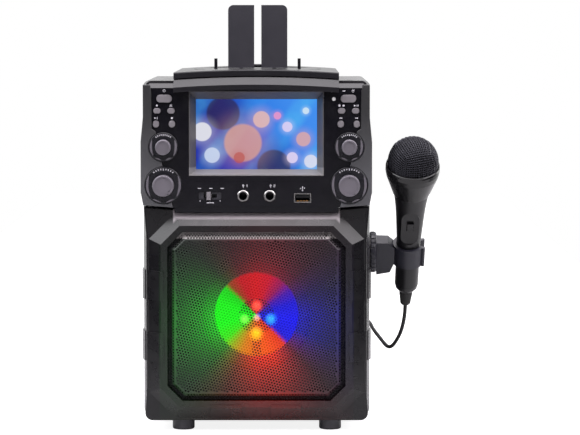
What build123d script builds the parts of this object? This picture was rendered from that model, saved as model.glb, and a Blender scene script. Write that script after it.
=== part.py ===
from build123d import *

import math
import os

os.makedirs("parts", exist_ok=True)

# Table-top karaoke machine with a top-loading disc bay, a lit speaker and a microphone on a side clip.
# Millimetres. While it is drawn, X runs to the right from the cabinet's centre plane, Y to the back
# from the front frame's face, and Z up from the undersides of the feet. Each piece is moved once, as
# it is written, so that the machine without its cord stands centred on the origin.

# ------------------------------------------------------------------ clearances
slip = 0.3              # between pieces that lie side by side
seat = 0.2              # between a piece and the seat or the window it fits
running = 0.05          # radial clearance of pins, shafts and rails

# ------------------------------------------------------------------ feet and cabinet
cabinet_half_front = 90.0
cabinet_half_rear = cabinet_half_front + 2.2
cabinet_height = 275.0
shell_depth = 164.0
flare_depth = 10.0      # behind its front rim the shell widens over this depth
wall = 2.5
bottom_corner = 7.0
top_corner = 5.0
rear_cover_thickness = 3.0

foot_height = 10.0
foot_radius = 9.0
foot_reach = cabinet_half_front - 30.0
foot_inset = 9.3        # from a foot's centre to the shell's front edge
foot_rear_inset = 20.0

# ------------------------------------------------------------------ front frame round the speaker
bevel_depth = 8.0       # the raised eight-sided border stands this far in front of its plate
frame_plate = 6.0
baffle_plate = 4.0      # the part of the plate behind the grille
frame_half_top = cabinet_half_front + 1.5
frame_half_waist = cabinet_half_front - 0.6
frame_half_bottom = cabinet_half_front + 1.2
frame_low = foot_height - 1.4
frame_waist_low = 35.0
frame_waist_high = 157.0
octagon_half = cabinet_half_front - 2.8
octagon_low = 10.7
octagon_high = 178.0
octagon_corner = 21.0
bevel_run = 9.8
border = 5.2
grille_ledge = 4.0
grille_depth = 6.3      # from the frame's face to the ledge that carries the grille
ear_inner = cabinet_half_front - 23.7    # the frame's upper corners rise beside the control panel
ear_rise = 4.5
ear_slope = 2.0
ear_shadow = 1.0        # dark joint between those corners and the pieces above
pad_height = 23.9
pad_lows = (57.3, 107.4)
pad_inner = octagon_half - 11.8
pad_proud = 1.2
bottom_pads = ((-37.1, -11.9), (11.7, 36.5))

# ------------------------------------------------------------------ the cabinet's faces
shell_front = bevel_depth + frame_plate
shell_rear = shell_front + shell_depth
shell_top = foot_height + cabinet_height
shell_floor = foot_height + wall
cover_back = shell_rear + rear_cover_thickness

# ------------------------------------------------------------------ speaker
speaker_z = 94.1
speaker_hole = 44.0
cone_radius = 34.0
coil_radius = 12.0
basket_radius = 51.0
basket_depth = 19.0
magnet_radius = 28.0
magnet_depth = 21.0
grille_sheet = 1.0
grille_run = 6.0
grille_hole = 2.0       # radius of the moulded openings
grille_pitch = 6.4
lamp_hub_radius = 14.5
lamp_radius = 3.0
lamp_orbit = 11.2
lamp_arm = 7.3

# ------------------------------------------------------------------ control panel
panel_half = cabinet_half_front - 3.5
panel_front = 3.0       # the panel's face lies this far behind the frame's face
panel_plate = 3.0
panel_top = shell_top - 2.0
panel_bevel = 3.6
pad_half_top = 50.3
pad_half_bottom = 57.0
pad_low = octagon_high + 5.7
pad_high = octagon_high + 25.9
pad_lift = 0.6

# ------------------------------------------------------------------ screen
bezel_half = 54.4
bezel_low = octagon_high + 30.6
bezel_high = panel_top - 6.0
window_half = 49.0
window_low = bezel_low + 4.7
window_high = bezel_high - 6.9
bezel_depth = 10.0
glass_thickness = 1.0
module_thickness = 3.0

# ------------------------------------------------------------------ knobs
knob_x = panel_half - 11.5
large_knob_z = octagon_high + 22.9
small_knob_z = large_knob_z + 31.0
small_cap = 6.2
large_cap = 8.6
small_ring = 11.8
large_ring = 14.9
knob_proud = 9.0        # a cap's face stands this far in front of the frame's face
ring_thickness = 2.5
stem_radius = 3.0
pot_radius = 6.5
pot_depth = 8.5

# ------------------------------------------------------------------ buttons
button_proud = 1.2
button_travel = 0.8
button_flange = 0.7
tact_size = 6.0
tact_depth = 4.0
tact_gap = 0.9
key_board_thickness = 1.6
pill_x = panel_half - 12.2
pill_z = panel_top - 12.2
pill_size = (12.4, 6.1)
upper_inner_x = panel_half - 17.7
upper_outer_x = panel_half - 6.4
upper_z = panel_top - 22.0
upper_size = (5.9, 4.4)
lower_inner_x = panel_half - 18.4
lower_outer_x = panel_half - 5.5
lower_z = panel_top - 32.7
lower_size = (5.0, 5.5)

# ------------------------------------------------------------------ sockets in the front
jack_x = 10.8
socket_z = octagon_high + 14.2
jack_hole = 3.35
jack_nut = 4.7
jack_body = (12.0, 10.4, 24.0)
usb_x = 37.3
usb_z = octagon_high + 12.6
usb_size = (13.8, 7.6)
usb_depth = 17.0
pocket_x = -37.4
pocket_size = (20.0, 7.0)
pocket_depth = 1.4
slider_x = -38.6
slider_size = (3.4, 6.6)
slider_forward = 5.0
slider_back = 2.5
jack_board_half = 52.0
jack_board_thickness = 1.6
battery_lamp_x = panel_half - 24.0
battery_lamp_z = pill_z - 0.3
battery_lamp_radius = 1.5

# ------------------------------------------------------------------ cheeks, visor and lid
cheek_front = 1.0
cheek_half = frame_half_top
cheek_bulge = cabinet_half_front + 3.4
cheek_high = shell_top - 3.0
visor_half = cabinet_half_front - 23.5
visor_front = -5.0
visor_low = shell_top - 6.7
visor_lip = 4.0
visor_rise = 6.0
visor_run = 4.5
arch_radius = 930.0     # of the lid's crown; the visor's arch shares its centre
lid_half = cabinet_half_front - 23.4
lid_front = -1.0
lid_rear = shell_rear + 6.0
lid_crown = shell_top + 9.2
lid_thickness = 2.4
lid_lip = 2.5
platform_radius = 53.2
platform_y = 100.0
platform_drop = 1.0
platform_groove = 1.8
hinge_y = shell_rear + 1.0
hinge_z = shell_top + 0.5
hinge_pin = 1.5
ear_x = (50.0, 55.0)
lug_width = 5.0
lug_radius = 3.1

# ------------------------------------------------------------------ tablet rest on the lid
rest_y = platform_y + 8.0
rest_plate = 21.9
rest_gap = 6.0
rest_height = 53.2
rest_thickness = 2.5
rest_corner = 4.5
rest_axis_rise = 2.4    # from the lid's platform to the fold's axis
rest_axis_back = 2.9    # from the plates' back to the fold's axis
rest_pin = 1.2
stop_x = 34.8
stop_y = platform_y - 9.0
stop_height = 8.6
stop_size = (2.6, 5.0)

# ------------------------------------------------------------------ disc bay
deck_half = lid_half + 0.3
deck_thickness = 2.5
deck_flange = deck_half + 5.1
well_radius = 62.0
well_y = 95.0
well_depth = 8.5
well_floor = 2.0
hub_hole = 14.8
disc_hole = 7.5
table_radius = 14.0
shaft_radius = 1.0
mechanism_drop = 2.5    # from the well's underside to the mechanism plate
mechanism_plate_thickness = 1.5
sled_inner_x = 24.0     # the lens at the disc's innermost track
sled_travel = 32.0
sled_width = 20.0
rail_radius = 1.5
rail_spread = 13.0
rail_drop = 4.5
gear_teeth = 20
gear_module = 0.8
gear_thickness = 3.0
gear_x = 30.0

# ------------------------------------------------------------------ inside the cabinet and at the back
battery_size = (72.0, 40.0, 20.0)
main_board = (110.0, 62.0, 1.6)
main_board_z = 50.0
rear_screw_reach = cabinet_half_front - 10.0
rear_screw_heights = (24.0, 146.0, 268.0)
screw_shank = 1.4
screw_head = 2.8
socket_hole = 4.2
socket_row = (-20.0, 0.0, 20.0)
vent_inner = 16.0
hook_x = cabinet_half_front - 28.0
hook_z = 78.0
hook_reach = 14.0
hook_width = 12.0

# ------------------------------------------------------------------ microphone and its clip
holder_boss = 15.0
holder_boss_x = cabinet_half_rear + 1.2
holder_disc_radius = 17.0
holder_disc_x = holder_boss_x + 5.4
mic_x = holder_disc_x + 26.3
mic_y = shell_front + 46.0
mic_z = 142.0
mic_lean = 30.0         # degrees, the head towards the front
mic_tilt = 1.4          # degrees, the head away from the cabinet
clip_wall = 2.7
clip_height = 18.0
clip_mouth = 27.0       # half angle of the clip's mouth, degrees
clip_lip = 2.2          # the clip's ends turn outwards by this
clip_clearance = 0.3
mic_profile = ((9.7, -31.4), (9.75, 0.0), (9.9, 9.0), (10.9, 26.5), (12.2, 44.0), (14.35, 59.0))
mic_shoulder = ((8.9, -34.8), (6.3, -38.1))
mic_wall = 1.8
head_radius = 20.75
head_centre = 89.3
head_wall = 1.0
head_cut = 79.0
collar_profile = ((14.7, 59.0), (21.2, 77.0), (22.06, 81.5), (22.06, 84.5), (21.6, 86.0))
capsule_radius = 8.5
capsule_height = 14.0
relief_length = 14.5
relief_top = 5.9
relief_end = 4.3
switch_low = 14.0
switch_high = 46.5
switch_width = 14.5
switch_nub = (5.5, 7.0)
switch_centre = 32.0
switch_sink = 0.7       # from the grip's surface to the flat that carries the switch
switch_travel = 3.0

# ------------------------------------------------------------------ cord, its stored coil and plug
cord_radius = 1.6
coil_mean = 19.2        # mean radius of the turns
coil_columns = 3
coil_layers = 4
coil_x = -10.0
coil_y = cover_back + 54.0
plug_grip = 5.2
plug_grip_length = 34.0
plug_tip = 3.1
plug_tip_length = 30.0

# ------------------------------------------------------------------ places worked out from the sizes
panel_back = panel_front + panel_plate
panel_low = octagon_high + 0.9
ear_low = octagon_high + 0.5
lid_flat = lid_crown - platform_drop
hook_back = cover_back + hook_reach
socket_low = main_board_z + main_board[2]
socket_middle = socket_low + 5.5
lean = math.radians(mic_lean)
tilt = math.radians(mic_tilt)
mic_axis = Vector(math.cos(lean) * math.sin(tilt), -math.sin(lean), math.cos(lean) * math.cos(tilt))
mic_side = Vector(math.cos(tilt), 0, -math.sin(tilt))
mic_front = mic_side.cross(mic_axis)
mic_pivot = Vector(mic_x, mic_y, mic_z)
mic_plane = Plane(origin=mic_pivot, x_dir=mic_side, z_dir=mic_axis)
mic_section = Plane(origin=mic_pivot, x_dir=mic_side, z_dir=mic_front)
collar_radius, collar_rise = max(collar_profile)
collar_reach = mic_x + collar_rise * mic_axis.X + collar_radius * math.sqrt(1 - mic_axis.X ** 2)
frame_shift = Location((
    (cheek_bulge - collar_reach) / 2,
    (knob_proud - hook_back) / 2,
    0,
))


def save(builder, name):
    """Label a finished piece, move it into the machine's own frame and write it."""
    piece = builder.part.moved(frame_shift)
    piece.label = name
    export_step(piece, f"parts/{name}.step")


def facing(depth):
    """Upright sketch plane at one depth: its X is right and its Y is up."""
    return Plane.XZ.offset(-depth)


def block(low, high, mode=Mode.ADD):
    """Box between two opposite corners."""
    with Locations(tuple((a + b) / 2 for a, b in zip(low, high))):
        Box(*(b - a for a, b in zip(low, high)), mode=mode)


def bar_y(x, z, radius, front, back, mode=Mode.ADD):
    """Round bar or bore that runs front to back."""
    with BuildSketch(facing(back)) as section:
        with Locations((x, z)):
            Circle(radius)
    extrude(section.sketch, amount=back - front, mode=mode)


def bar_x(y, z, radius, left, right, mode=Mode.ADD):
    """Round bar or bore that runs left to right."""
    with BuildSketch(Plane.YZ.offset(left)) as section:
        with Locations((y, z)):
            Circle(radius)
    extrude(section.sketch, amount=right - left, mode=mode)


def bar_z(x, y, radius, low, high, mode=Mode.ADD):
    """Round bar or bore that runs up."""
    with BuildSketch(Plane.XY.offset(low)) as section:
        with Locations((x, y)):
            Circle(radius)
    extrude(section.sketch, amount=high - low, mode=mode)


def octagon(half, low, high, corner):
    """Corners of an upright rectangle whose corners are cut at 45 degrees."""
    return [
        (-half + corner, low), (half - corner, low), (half, low + corner), (half, high - corner),
        (half - corner, high), (-half + corner, high), (-half, high - corner), (-half, low + corner),
    ]


def octagon_inside(inset):
    """The front frame's octagon, moved inwards by one distance on every side."""
    corner = octagon_corner - inset * (2 - math.sqrt(2))
    return octagon(octagon_half - inset, octagon_low + inset, octagon_high - inset, corner)


def octagon_prism(inset, front, back, mode=Mode.ADD):
    """Straight-sided octagon between two depths."""
    with BuildSketch(facing(back)) as section:
        Polygon(*octagon_inside(inset), align=None)
    extrude(section.sketch, amount=back - front, mode=mode)


def octagon_taper(back_inset, back, front_inset, front, mode=Mode.ADD):
    """Octagon that narrows or widens from one depth to another."""
    with BuildSketch(facing(back)) as back_section:
        Polygon(*octagon_inside(back_inset), align=None)
    with BuildSketch(facing(front)) as front_section:
        Polygon(*octagon_inside(front_inset), align=None)
    loft([back_section.sketch, front_section.sketch], mode=mode)


def cabinet_half(depth):
    """Half of the shell's outer width at one depth: the sides spread behind the front rim."""
    flared = min((depth - shell_front) / flare_depth, 1)
    return cabinet_half_front + (cabinet_half_rear - cabinet_half_front) * flared


def cabinet_section(depth, inset):
    """Upright section of the shell with rounded corners, inset by a wall."""
    with BuildSketch() as section:
        with Locations((0, (shell_top + foot_height) / 2)):
            Rectangle(2 * (cabinet_half(depth) - inset), cabinet_height - 2 * inset)
        fillet(section.vertices().sort_by(Axis.Y)[:2], bottom_corner - inset)
        fillet(section.vertices().sort_by(Axis.Y)[-2:], top_corner - inset)
    return section.sketch


def revolved(points, plane, axis, mode=Mode.ADD):
    """Body of revolution from a closed half profile."""
    with BuildSketch(plane) as section:
        Polygon(*points, align=None)
    revolve(section.sketch, axis=axis, mode=mode)


# ------------------------------------------------------------------ cabinet shell: side mouldings and floor
lid_opening = deck_half + slip
opening_drop = deck_thickness + 5.5
floor_seam = foot_reach + 5.6     # the floor panel meets the two side mouldings here
shell_depths = (shell_front, shell_front + flare_depth, shell_rear)
with BuildPart() as cabinet_shell:
    for depth in shell_depths:
        with BuildSketch(facing(depth)):
            add(cabinet_section(depth, 0))
    loft(ruled=True)
    for side in (-1, 1):
        for pad in pad_lows:
            with BuildSketch(Plane.XY.offset(pad)):
                with BuildLine():
                    Polyline(
                        (side * (cabinet_half_front - wall / 2), shell_front),
                        (side * (cabinet_half_front + pad_proud), shell_front),
                        (side * (cabinet_half_rear + pad_proud), shell_front + flare_depth),
                        (side * (cabinet_half_rear + pad_proud), shell_front + 26),
                        (side * (cabinet_half_front - wall / 2), shell_front + 28),
                        close=True,
                    )
                make_face()
            extrude(amount=pad_height)
    bar_x(mic_y, mic_z, holder_boss, cabinet_half_front - 1, holder_boss_x)
    for depth in shell_depths:
        with BuildSketch(facing(depth)):
            add(cabinet_section(depth, wall))
    loft(ruled=True, mode=Mode.SUBTRACT)
    block(
        (-lid_opening, shell_front, shell_top - wall - 1),
        (lid_opening, shell_rear, shell_top + 1), Mode.SUBTRACT,
    )
    for side in (-1, 1):
        for height in rear_screw_heights:
            x = side * rear_screw_reach
            bar_y(x, height, screw_shank + 2.6, shell_rear - 30, shell_rear)
            rib = sorted((x, side * (cabinet_half_rear - wall / 2)))
            block((rib[0], shell_rear - 30, height - 1.5), (rib[1], shell_rear, height + 1.5))
            bar_y(x, height, screw_shank + running, shell_rear - 20, shell_rear, Mode.SUBTRACT)
    for x in (-main_board[0] / 2 + 5, main_board[0] / 2 - 5):
        for y in (shell_rear - 6 - main_board[1] + 5, shell_rear - 6 - 5):
            bar_z(x, y, 3.0, shell_floor - wall / 2, main_board_z)
    for x in (-foot_reach, foot_reach):
        for y in (shell_front + foot_inset, shell_rear - foot_rear_inset):
            bar_z(x, y, 4.0, shell_floor - wall / 2, shell_floor + 6)
            bar_z(x, y, screw_shank + running, foot_height, shell_floor + 5, Mode.SUBTRACT)
    bar_x(mic_y, mic_z, 4.0, cabinet_half_front - 12, holder_boss_x)
    bar_x(mic_y, mic_z, screw_shank + running, cabinet_half_front - 12, holder_boss_x, Mode.SUBTRACT)
    scoop = 20.0
    with Locations((deck_half + 6.1, shell_front + 16, shell_top - 1.6 + scoop)):
        Sphere(scoop, mode=Mode.SUBTRACT)
    for side in (-1, 1):
        split(bisect_by=Plane.YZ.offset(side * floor_seam), keep=Keep.BOTH)
save(cabinet_shell, "cabinet_shell")

# ------------------------------------------------------------------ rear cover with vents, sockets, hook
notch_half = lid_opening + 0.3
notch_low = shell_top - opening_drop
vent_width = rear_screw_reach - 8.0 - vent_inner
with BuildPart() as rear_cover:
    with BuildSketch(facing(cover_back)):
        add(cabinet_section(shell_rear, 0))
    extrude(amount=rear_cover_thickness)
    block((-notch_half, shell_rear, notch_low), (notch_half, cover_back, shell_top + 1), Mode.SUBTRACT)
    fillet(rear_cover.faces().sort_by(Axis.Y)[-1].edges(), 1.0)
    for row in range(8):
        for side in (-1, 1):
            with BuildSketch(facing(cover_back)):
                with Locations((side * (vent_inner + vent_width / 2), speaker_z + 22 + 8 * row)):
                    SlotOverall(vent_width, 3.2)
            extrude(amount=rear_cover_thickness, mode=Mode.SUBTRACT)
    for side in (-1, 1):
        for height in rear_screw_heights:
            x = side * rear_screw_reach
            bar_y(x, height, screw_shank + 0.2, shell_rear, cover_back, Mode.SUBTRACT)
    for x in socket_row:
        bar_y(x, socket_middle, socket_hole + seat, shell_rear, cover_back, Mode.SUBTRACT)
    hook_low = hook_z - cord_radius - 3.4
    hook_left = hook_x - hook_width / 2
    hook_right = hook_x + hook_width / 2
    block((hook_left, cover_back - 1, hook_low), (hook_right, hook_back, hook_low + 3))
    block((hook_left, hook_back - 2.5, hook_low), (hook_right, hook_back, hook_low + 9))
save(rear_cover, "rear_cover")

# ------------------------------------------------------------------ front frame
ear_half = frame_half_top - ear_inner


def ear_height(x, gap):
    """Height of the frame's sloping upper corners at one distance from the centre plane."""
    return ear_low + ear_rise - 0.5 + ear_slope * (x - ear_inner) / ear_half + gap


frame_outline = [
    (ear_inner, ear_low), (ear_inner, ear_height(ear_inner, -ear_shadow)),
    (frame_half_top, ear_height(frame_half_top, -ear_shadow)), (frame_half_waist, frame_waist_high),
    (frame_half_waist, frame_waist_low), (frame_half_bottom, frame_low),
]
opening_inset = bevel_run + border
speaker_screw_reach = (basket_radius - 3) * math.sqrt(0.5)
speaker_screws = [
    (x, speaker_z + rise) for x in (-speaker_screw_reach, speaker_screw_reach)
    for rise in (-speaker_screw_reach, speaker_screw_reach)
]
with BuildPart() as front_frame:
    with BuildSketch(facing(shell_front)):
        with BuildLine():
            Polyline(*frame_outline, *((-x, z) for x, z in reversed(frame_outline)), close=True)
        outline = make_face()
        fillet(outline.vertices().sort_by(Axis.Y)[:2], bottom_corner - 1)
    extrude(amount=frame_plate)
    fillet(front_frame.faces().sort_by(Axis.Y)[0].edges(), 1.5)
    octagon_taper(0, bevel_depth, bevel_run, 0)
    for low in pad_lows:
        for side in (-1, 1):
            with BuildSketch(Plane.XY.offset(low)):
                with BuildLine():
                    Polyline(
                        (side * pad_inner, -pad_proud),
                        (side * (octagon_half - bevel_run + pad_proud / 2), -pad_proud),
                        (side * (octagon_half + pad_proud), bevel_depth),
                        (side * pad_inner, bevel_depth),
                        close=True,
                    )
                make_face()
            extrude(amount=pad_height)
    for left, right in bottom_pads:
        with BuildSketch(Plane.YZ.offset(left)):
            with BuildLine():
                Polyline(
                    (-pad_proud, octagon_low + bevel_run + 1.9),
                    (-pad_proud, octagon_low + bevel_run - pad_proud / 2),
                    (bevel_depth, foot_height + 0.2),
                    (bevel_depth, octagon_low + bevel_run + 1.9),
                    close=True,
                )
            make_face()
        extrude(amount=right - left)
    octagon_prism(opening_inset, -pad_proud, grille_depth, Mode.SUBTRACT)
    octagon_prism(opening_inset + grille_ledge, grille_depth, shell_front - baffle_plate, Mode.SUBTRACT)
    bar_y(0, speaker_z, speaker_hole, 0, shell_front, Mode.SUBTRACT)
    for x, z in speaker_screws:
        bar_y(x, z, screw_shank + running, shell_front - 3, shell_front, Mode.SUBTRACT)
save(front_frame, "front_frame")

# ------------------------------------------------------------------ speaker grille
flat_front = grille_depth - grille_sheet - 4.3


def grille_spots():
    """Centres of the grille's openings: staggered rows that fill its flat eight-sided face."""
    middle = (octagon_low + octagon_high) / 2
    reach = octagon_half - opening_inset - grille_run - grille_hole - 1
    tall = (octagon_high - octagon_low) / 2 - opening_inset - grille_run - grille_hole - 1
    cut = reach + tall - octagon_corner + (opening_inset + grille_run) * (2 - math.sqrt(2))
    row_pitch = grille_pitch * math.sqrt(3) / 2
    spots = []
    for row in range(-int(tall / row_pitch), int(tall / row_pitch) + 1):
        for column in range(-int(reach / grille_pitch) - 1, int(reach / grille_pitch) + 2):
            x = (column + (row % 2) / 2) * grille_pitch
            z = row * row_pitch
            if abs(x) < reach and abs(x) + abs(z) < cut:
                spots.append((x, middle + z))
    return spots


with BuildPart() as speaker_grille:
    octagon_prism(opening_inset + seat, grille_depth - grille_sheet, grille_depth)
    octagon_taper(opening_inset + seat, grille_depth - grille_sheet, opening_inset + grille_run, flat_front)
    octagon_taper(
        opening_inset + seat + 1.5 * grille_sheet, grille_depth,
        opening_inset + grille_run + grille_sheet / 2, flat_front + grille_sheet, Mode.SUBTRACT,
    )
    with BuildSketch(facing(flat_front + grille_sheet)):
        with Locations(*grille_spots()):
            Circle(grille_hole)
    extrude(amount=grille_sheet, mode=Mode.SUBTRACT)
save(speaker_grille, "speaker_grille")

# ------------------------------------------------------------------ speaker: basket, magnet, suspension, cone
speaker_axis = Axis((0, 0, speaker_z), (0, 1, 0))
speaker_plane = Plane(origin=(0, 0, speaker_z), x_dir=(1, 0, 0), z_dir=(0, 0, 1))
flange_back = shell_front + 1.5
plate_front = shell_front + basket_depth
spider_front = plate_front - 4.5
with BuildPart() as speaker_basket:
    revolved([
        (speaker_hole - 2, shell_front), (basket_radius, shell_front), (basket_radius, flange_back),
        (speaker_hole + 1.0, flange_back), (magnet_radius + 3, plate_front), (coil_radius + 9, plate_front),
        (coil_radius + 9, plate_front - 3.5), (magnet_radius + 1, plate_front - 3.5),
        (speaker_hole - 1.5, flange_back), (speaker_hole - 2, flange_back),
    ], speaker_plane, speaker_axis)
    for turn in (0, 90, 180, 270):
        window = Plane(
            origin=(0, (flange_back + plate_front - 3.5) / 2, speaker_z), x_dir=(0, 1, 0),
            z_dir=(math.cos(math.radians(turn)), 0, math.sin(math.radians(turn))),
        )
        with BuildSketch(window):
            RectangleRounded(basket_depth - 8.5, 34, 3)
        extrude(amount=basket_radius, mode=Mode.SUBTRACT)
    for x, z in speaker_screws:
        bar_y(x, z, screw_shank + 0.1, shell_front, flange_back, Mode.SUBTRACT)
save(speaker_basket, "speaker_basket")

with BuildPart() as speaker_magnet:
    pole = coil_radius - 1.0
    gap_outer = coil_radius + 1.5
    revolved([
        (0, plate_front), (pole, plate_front), (pole, plate_front + magnet_depth - 4),
        (gap_outer, plate_front + magnet_depth - 4), (gap_outer, plate_front),
        (magnet_radius + 3, plate_front),
        (magnet_radius + 3, plate_front + 4), (magnet_radius, plate_front + 4),
        (magnet_radius, plate_front + magnet_depth), (0, plate_front + magnet_depth),
    ], speaker_plane, speaker_axis)
save(speaker_magnet, "speaker_magnet")

cone_front = shell_front - 2.0
with BuildPart() as speaker_suspension:
    with BuildSketch(speaker_plane):
        with BuildLine():
            Line((cone_radius + 0.1, cone_front), (cone_radius + 0.1, cone_front + 0.8))
            ThreePointArc(
                (cone_radius + 0.1, cone_front + 0.8), (cone_radius + 4, cone_front + 3.0),
                (speaker_hole - 2.2, shell_front - 0.6),
            )
            Polyline(
                (speaker_hole - 2.2, shell_front - 0.6), (speaker_hole - 2.2, shell_front),
                (speaker_hole - 0.2, shell_front), (speaker_hole - 0.2, shell_front - 1.1),
                (speaker_hole - 1.6, shell_front - 1.6),
            )
            ThreePointArc(
                (speaker_hole - 1.6, shell_front - 1.6), (cone_radius + 4, cone_front + 2.1),
                (cone_radius + 0.1, cone_front),
            )
        make_face()
    revolve(axis=speaker_axis)
    revolved([
        (coil_radius + 0.6, spider_front), (coil_radius + 12, spider_front),
        (coil_radius + 12, spider_front + 0.9), (coil_radius + 0.6, spider_front + 0.9),
    ], speaker_plane, speaker_axis)
save(speaker_suspension, "speaker_suspension")

cone_throat = spider_front - 3.5
dome_rise = 4.0
with BuildPart() as speaker_cone:
    with BuildSketch(speaker_plane):
        with BuildLine():
            TangentArc((0, cone_throat - dome_rise), (coil_radius, cone_throat - 0.4), tangent=(1, 0))
            Polyline(
                (coil_radius, cone_throat - 0.4), (coil_radius + 0.8, cone_throat),
                (cone_radius, cone_front), (cone_radius, cone_front + 0.8),
                (coil_radius + 0.8, cone_throat + 1.0), (coil_radius + 0.5, cone_throat + 1.4),
                (coil_radius + 0.5, plate_front + 6), (coil_radius, plate_front + 6),
                (coil_radius, cone_throat + 0.6),
            )
            TangentArc((0, cone_throat - dome_rise + 0.9), (coil_radius, cone_throat + 0.6), tangent=(1, 0))
            Line((0, cone_throat - dome_rise + 0.9), (0, cone_throat - dome_rise))
        make_face()
    revolve(axis=speaker_axis)
save(speaker_cone, "speaker_cone")

# ------------------------------------------------------------------ lamp bracket and lamps
hub_front = grille_depth - 0.3
hub_back = shell_front - baffle_plate
with BuildPart() as lamp_bracket:
    bar_y(0, speaker_z, lamp_hub_radius, hub_front, hub_front + 2.2)
    foot_low = octagon_low + opening_inset + grille_ledge + 1
    block((-lamp_arm / 2, hub_back - 3, foot_low), (lamp_arm / 2, hub_back, speaker_z - lamp_hub_radius + 3))
    block(
        (-lamp_arm / 2, hub_front, speaker_z - lamp_hub_radius),
        (lamp_arm / 2, hub_back, speaker_z - lamp_hub_radius + 4),
    )
    for turn in (0, 90, 180, 270):
        x = lamp_orbit * math.cos(math.radians(turn))
        z = speaker_z + lamp_orbit * math.sin(math.radians(turn))
        bar_y(x, z, 1.0, hub_front - 1, hub_front + 3, Mode.SUBTRACT)
save(lamp_bracket, "lamp_bracket")

with BuildPart() as lamps:
    for turn in (0, 90, 180, 270):
        x = lamp_orbit * math.cos(math.radians(turn))
        z = speaker_z + lamp_orbit * math.sin(math.radians(turn))
        bar_y(x, z, lamp_radius, hub_front - 1.2, hub_front)
        with Locations((x, hub_front - 1.2, z)):
            Sphere(lamp_radius - 0.6)
        block((x - 4, hub_front, z - 4), (x + 4, hub_front + 4, z + 4), Mode.SUBTRACT)
    bar_y(battery_lamp_x, battery_lamp_z, battery_lamp_radius, panel_front - 0.4, panel_back + 3)
    bar_y(battery_lamp_x, battery_lamp_z, battery_lamp_radius + 0.8, panel_back + 0.1, panel_back + 3)
save(lamps, "lamps")

# ------------------------------------------------------------------ control panel
panel_outline = [
    (ear_inner - slip, panel_low), (ear_inner - slip, ear_height(ear_inner, slip)),
    (panel_half, ear_height(panel_half, slip)), (panel_half, panel_top),
]
button_places = {
    "power_button": (-pill_x, pill_z, pill_size),
    "light_button": (pill_x, pill_z, pill_size),
    "record_button": (-upper_outer_x, upper_z, upper_size),
    "program_button": (-upper_inner_x, upper_z, upper_size),
    "page_down_button": (-lower_outer_x, lower_z, lower_size),
    "page_up_button": (-lower_inner_x, lower_z, lower_size),
    "stop_button": (upper_inner_x, upper_z, upper_size),
    "play_button": (upper_outer_x, upper_z, upper_size),
    "previous_button": (lower_inner_x, lower_z, lower_size),
    "next_button": (lower_outer_x, lower_z, lower_size),
}
knob_places = {
    "echo_knob": (-knob_x, small_knob_z, small_cap, small_ring),
    "mic_volume_knob": (-knob_x, large_knob_z, large_cap, large_ring),
    "balance_knob": (knob_x, small_knob_z, small_cap, small_ring),
    "master_volume_knob": (knob_x, large_knob_z, large_cap, large_ring),
}
tact_front = panel_front - button_proud + button_travel + 9.8
key_board_front = tact_front + tact_depth
key_boards = ((-panel_half + 5, -pill_x + 14), (pill_x - 14, panel_half - 5))
pad_front = panel_front - pad_lift


def button_outline(size, grow):
    """Outline of a button with round ends, grown by a clearance."""
    width, height = size[0] + 2 * grow, size[1] + 2 * grow
    RectangleRounded(width, height, 0.48 * min(width, height))


with BuildPart() as control_panel:
    with BuildSketch(facing(panel_back)) as panel_outline_sketch:
        with BuildLine():
            Polyline(*panel_outline, *((-x, z) for x, z in reversed(panel_outline)), close=True)
        make_face()
    extrude(amount=panel_plate)
    with BuildSketch(facing(shell_front)):
        add(panel_outline_sketch.sketch_local)
        offset(amount=-2.0, mode=Mode.SUBTRACT)
    extrude(amount=shell_front - panel_back)
    chamfer(control_panel.edges().filter_by(Axis.X).group_by(Axis.Y)[0].sort_by(Axis.Z)[-1], panel_bevel)
    with BuildSketch(facing(panel_front)):
        Polygon(
            (-pad_half_bottom, pad_low), (pad_half_bottom, pad_low),
            (pad_half_top, pad_high), (-pad_half_top, pad_high), align=None,
        )
        fillet(vertices(), 3.0)
    extrude(amount=pad_lift)
    window_height = bezel_high - bezel_low
    with BuildSketch(facing(panel_back + 0.5)):
        with Locations((0, (bezel_high + bezel_low) / 2)):
            Rectangle(2 * (bezel_half + seat), window_height + 2 * seat)
    extrude(amount=panel_plate + 1, mode=Mode.SUBTRACT)
    for x, z, size in button_places.values():
        with BuildSketch(facing(panel_back)):
            with Locations((x, z)):
                button_outline(size, seat)
        extrude(amount=panel_plate, mode=Mode.SUBTRACT)
    for x, z, cap, ring in knob_places.values():
        bar_y(x, z, stem_radius + 0.5, panel_front, panel_back, Mode.SUBTRACT)
    for x in (-jack_x, jack_x):
        bar_y(x, socket_z, jack_nut - 0.6, pad_front, panel_back, Mode.SUBTRACT)
    block(
        (usb_x - usb_size[0] / 2 - seat, pad_front - 1, usb_z - usb_size[1] / 2 - seat),
        (usb_x + usb_size[0] / 2 + seat, panel_back + 1, usb_z + usb_size[1] / 2 + seat), Mode.SUBTRACT,
    )
    with BuildSketch(facing(pad_front + pocket_depth)):
        with Locations((pocket_x, socket_z)):
            SlotOverall(*pocket_size)
    extrude(amount=pocket_depth, mode=Mode.SUBTRACT)
    slot_left = slider_x - slider_back - 1.0 - slip
    slot_right = slider_x + slider_forward + 1.0 + slip
    block((slot_left, pad_front, socket_z - 1.5), (slot_right, panel_back, socket_z + 1.5), Mode.SUBTRACT)
    bar_y(battery_lamp_x, battery_lamp_z, battery_lamp_radius + 0.1, panel_front, panel_back, Mode.SUBTRACT)
    for left, right in key_boards:
        for x in (left + 2.5, right - 2.5):
            bar_y(x, (pill_z + upper_z) / 2, 1.2, panel_back, key_board_front)
save(control_panel, "control_panel")

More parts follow.
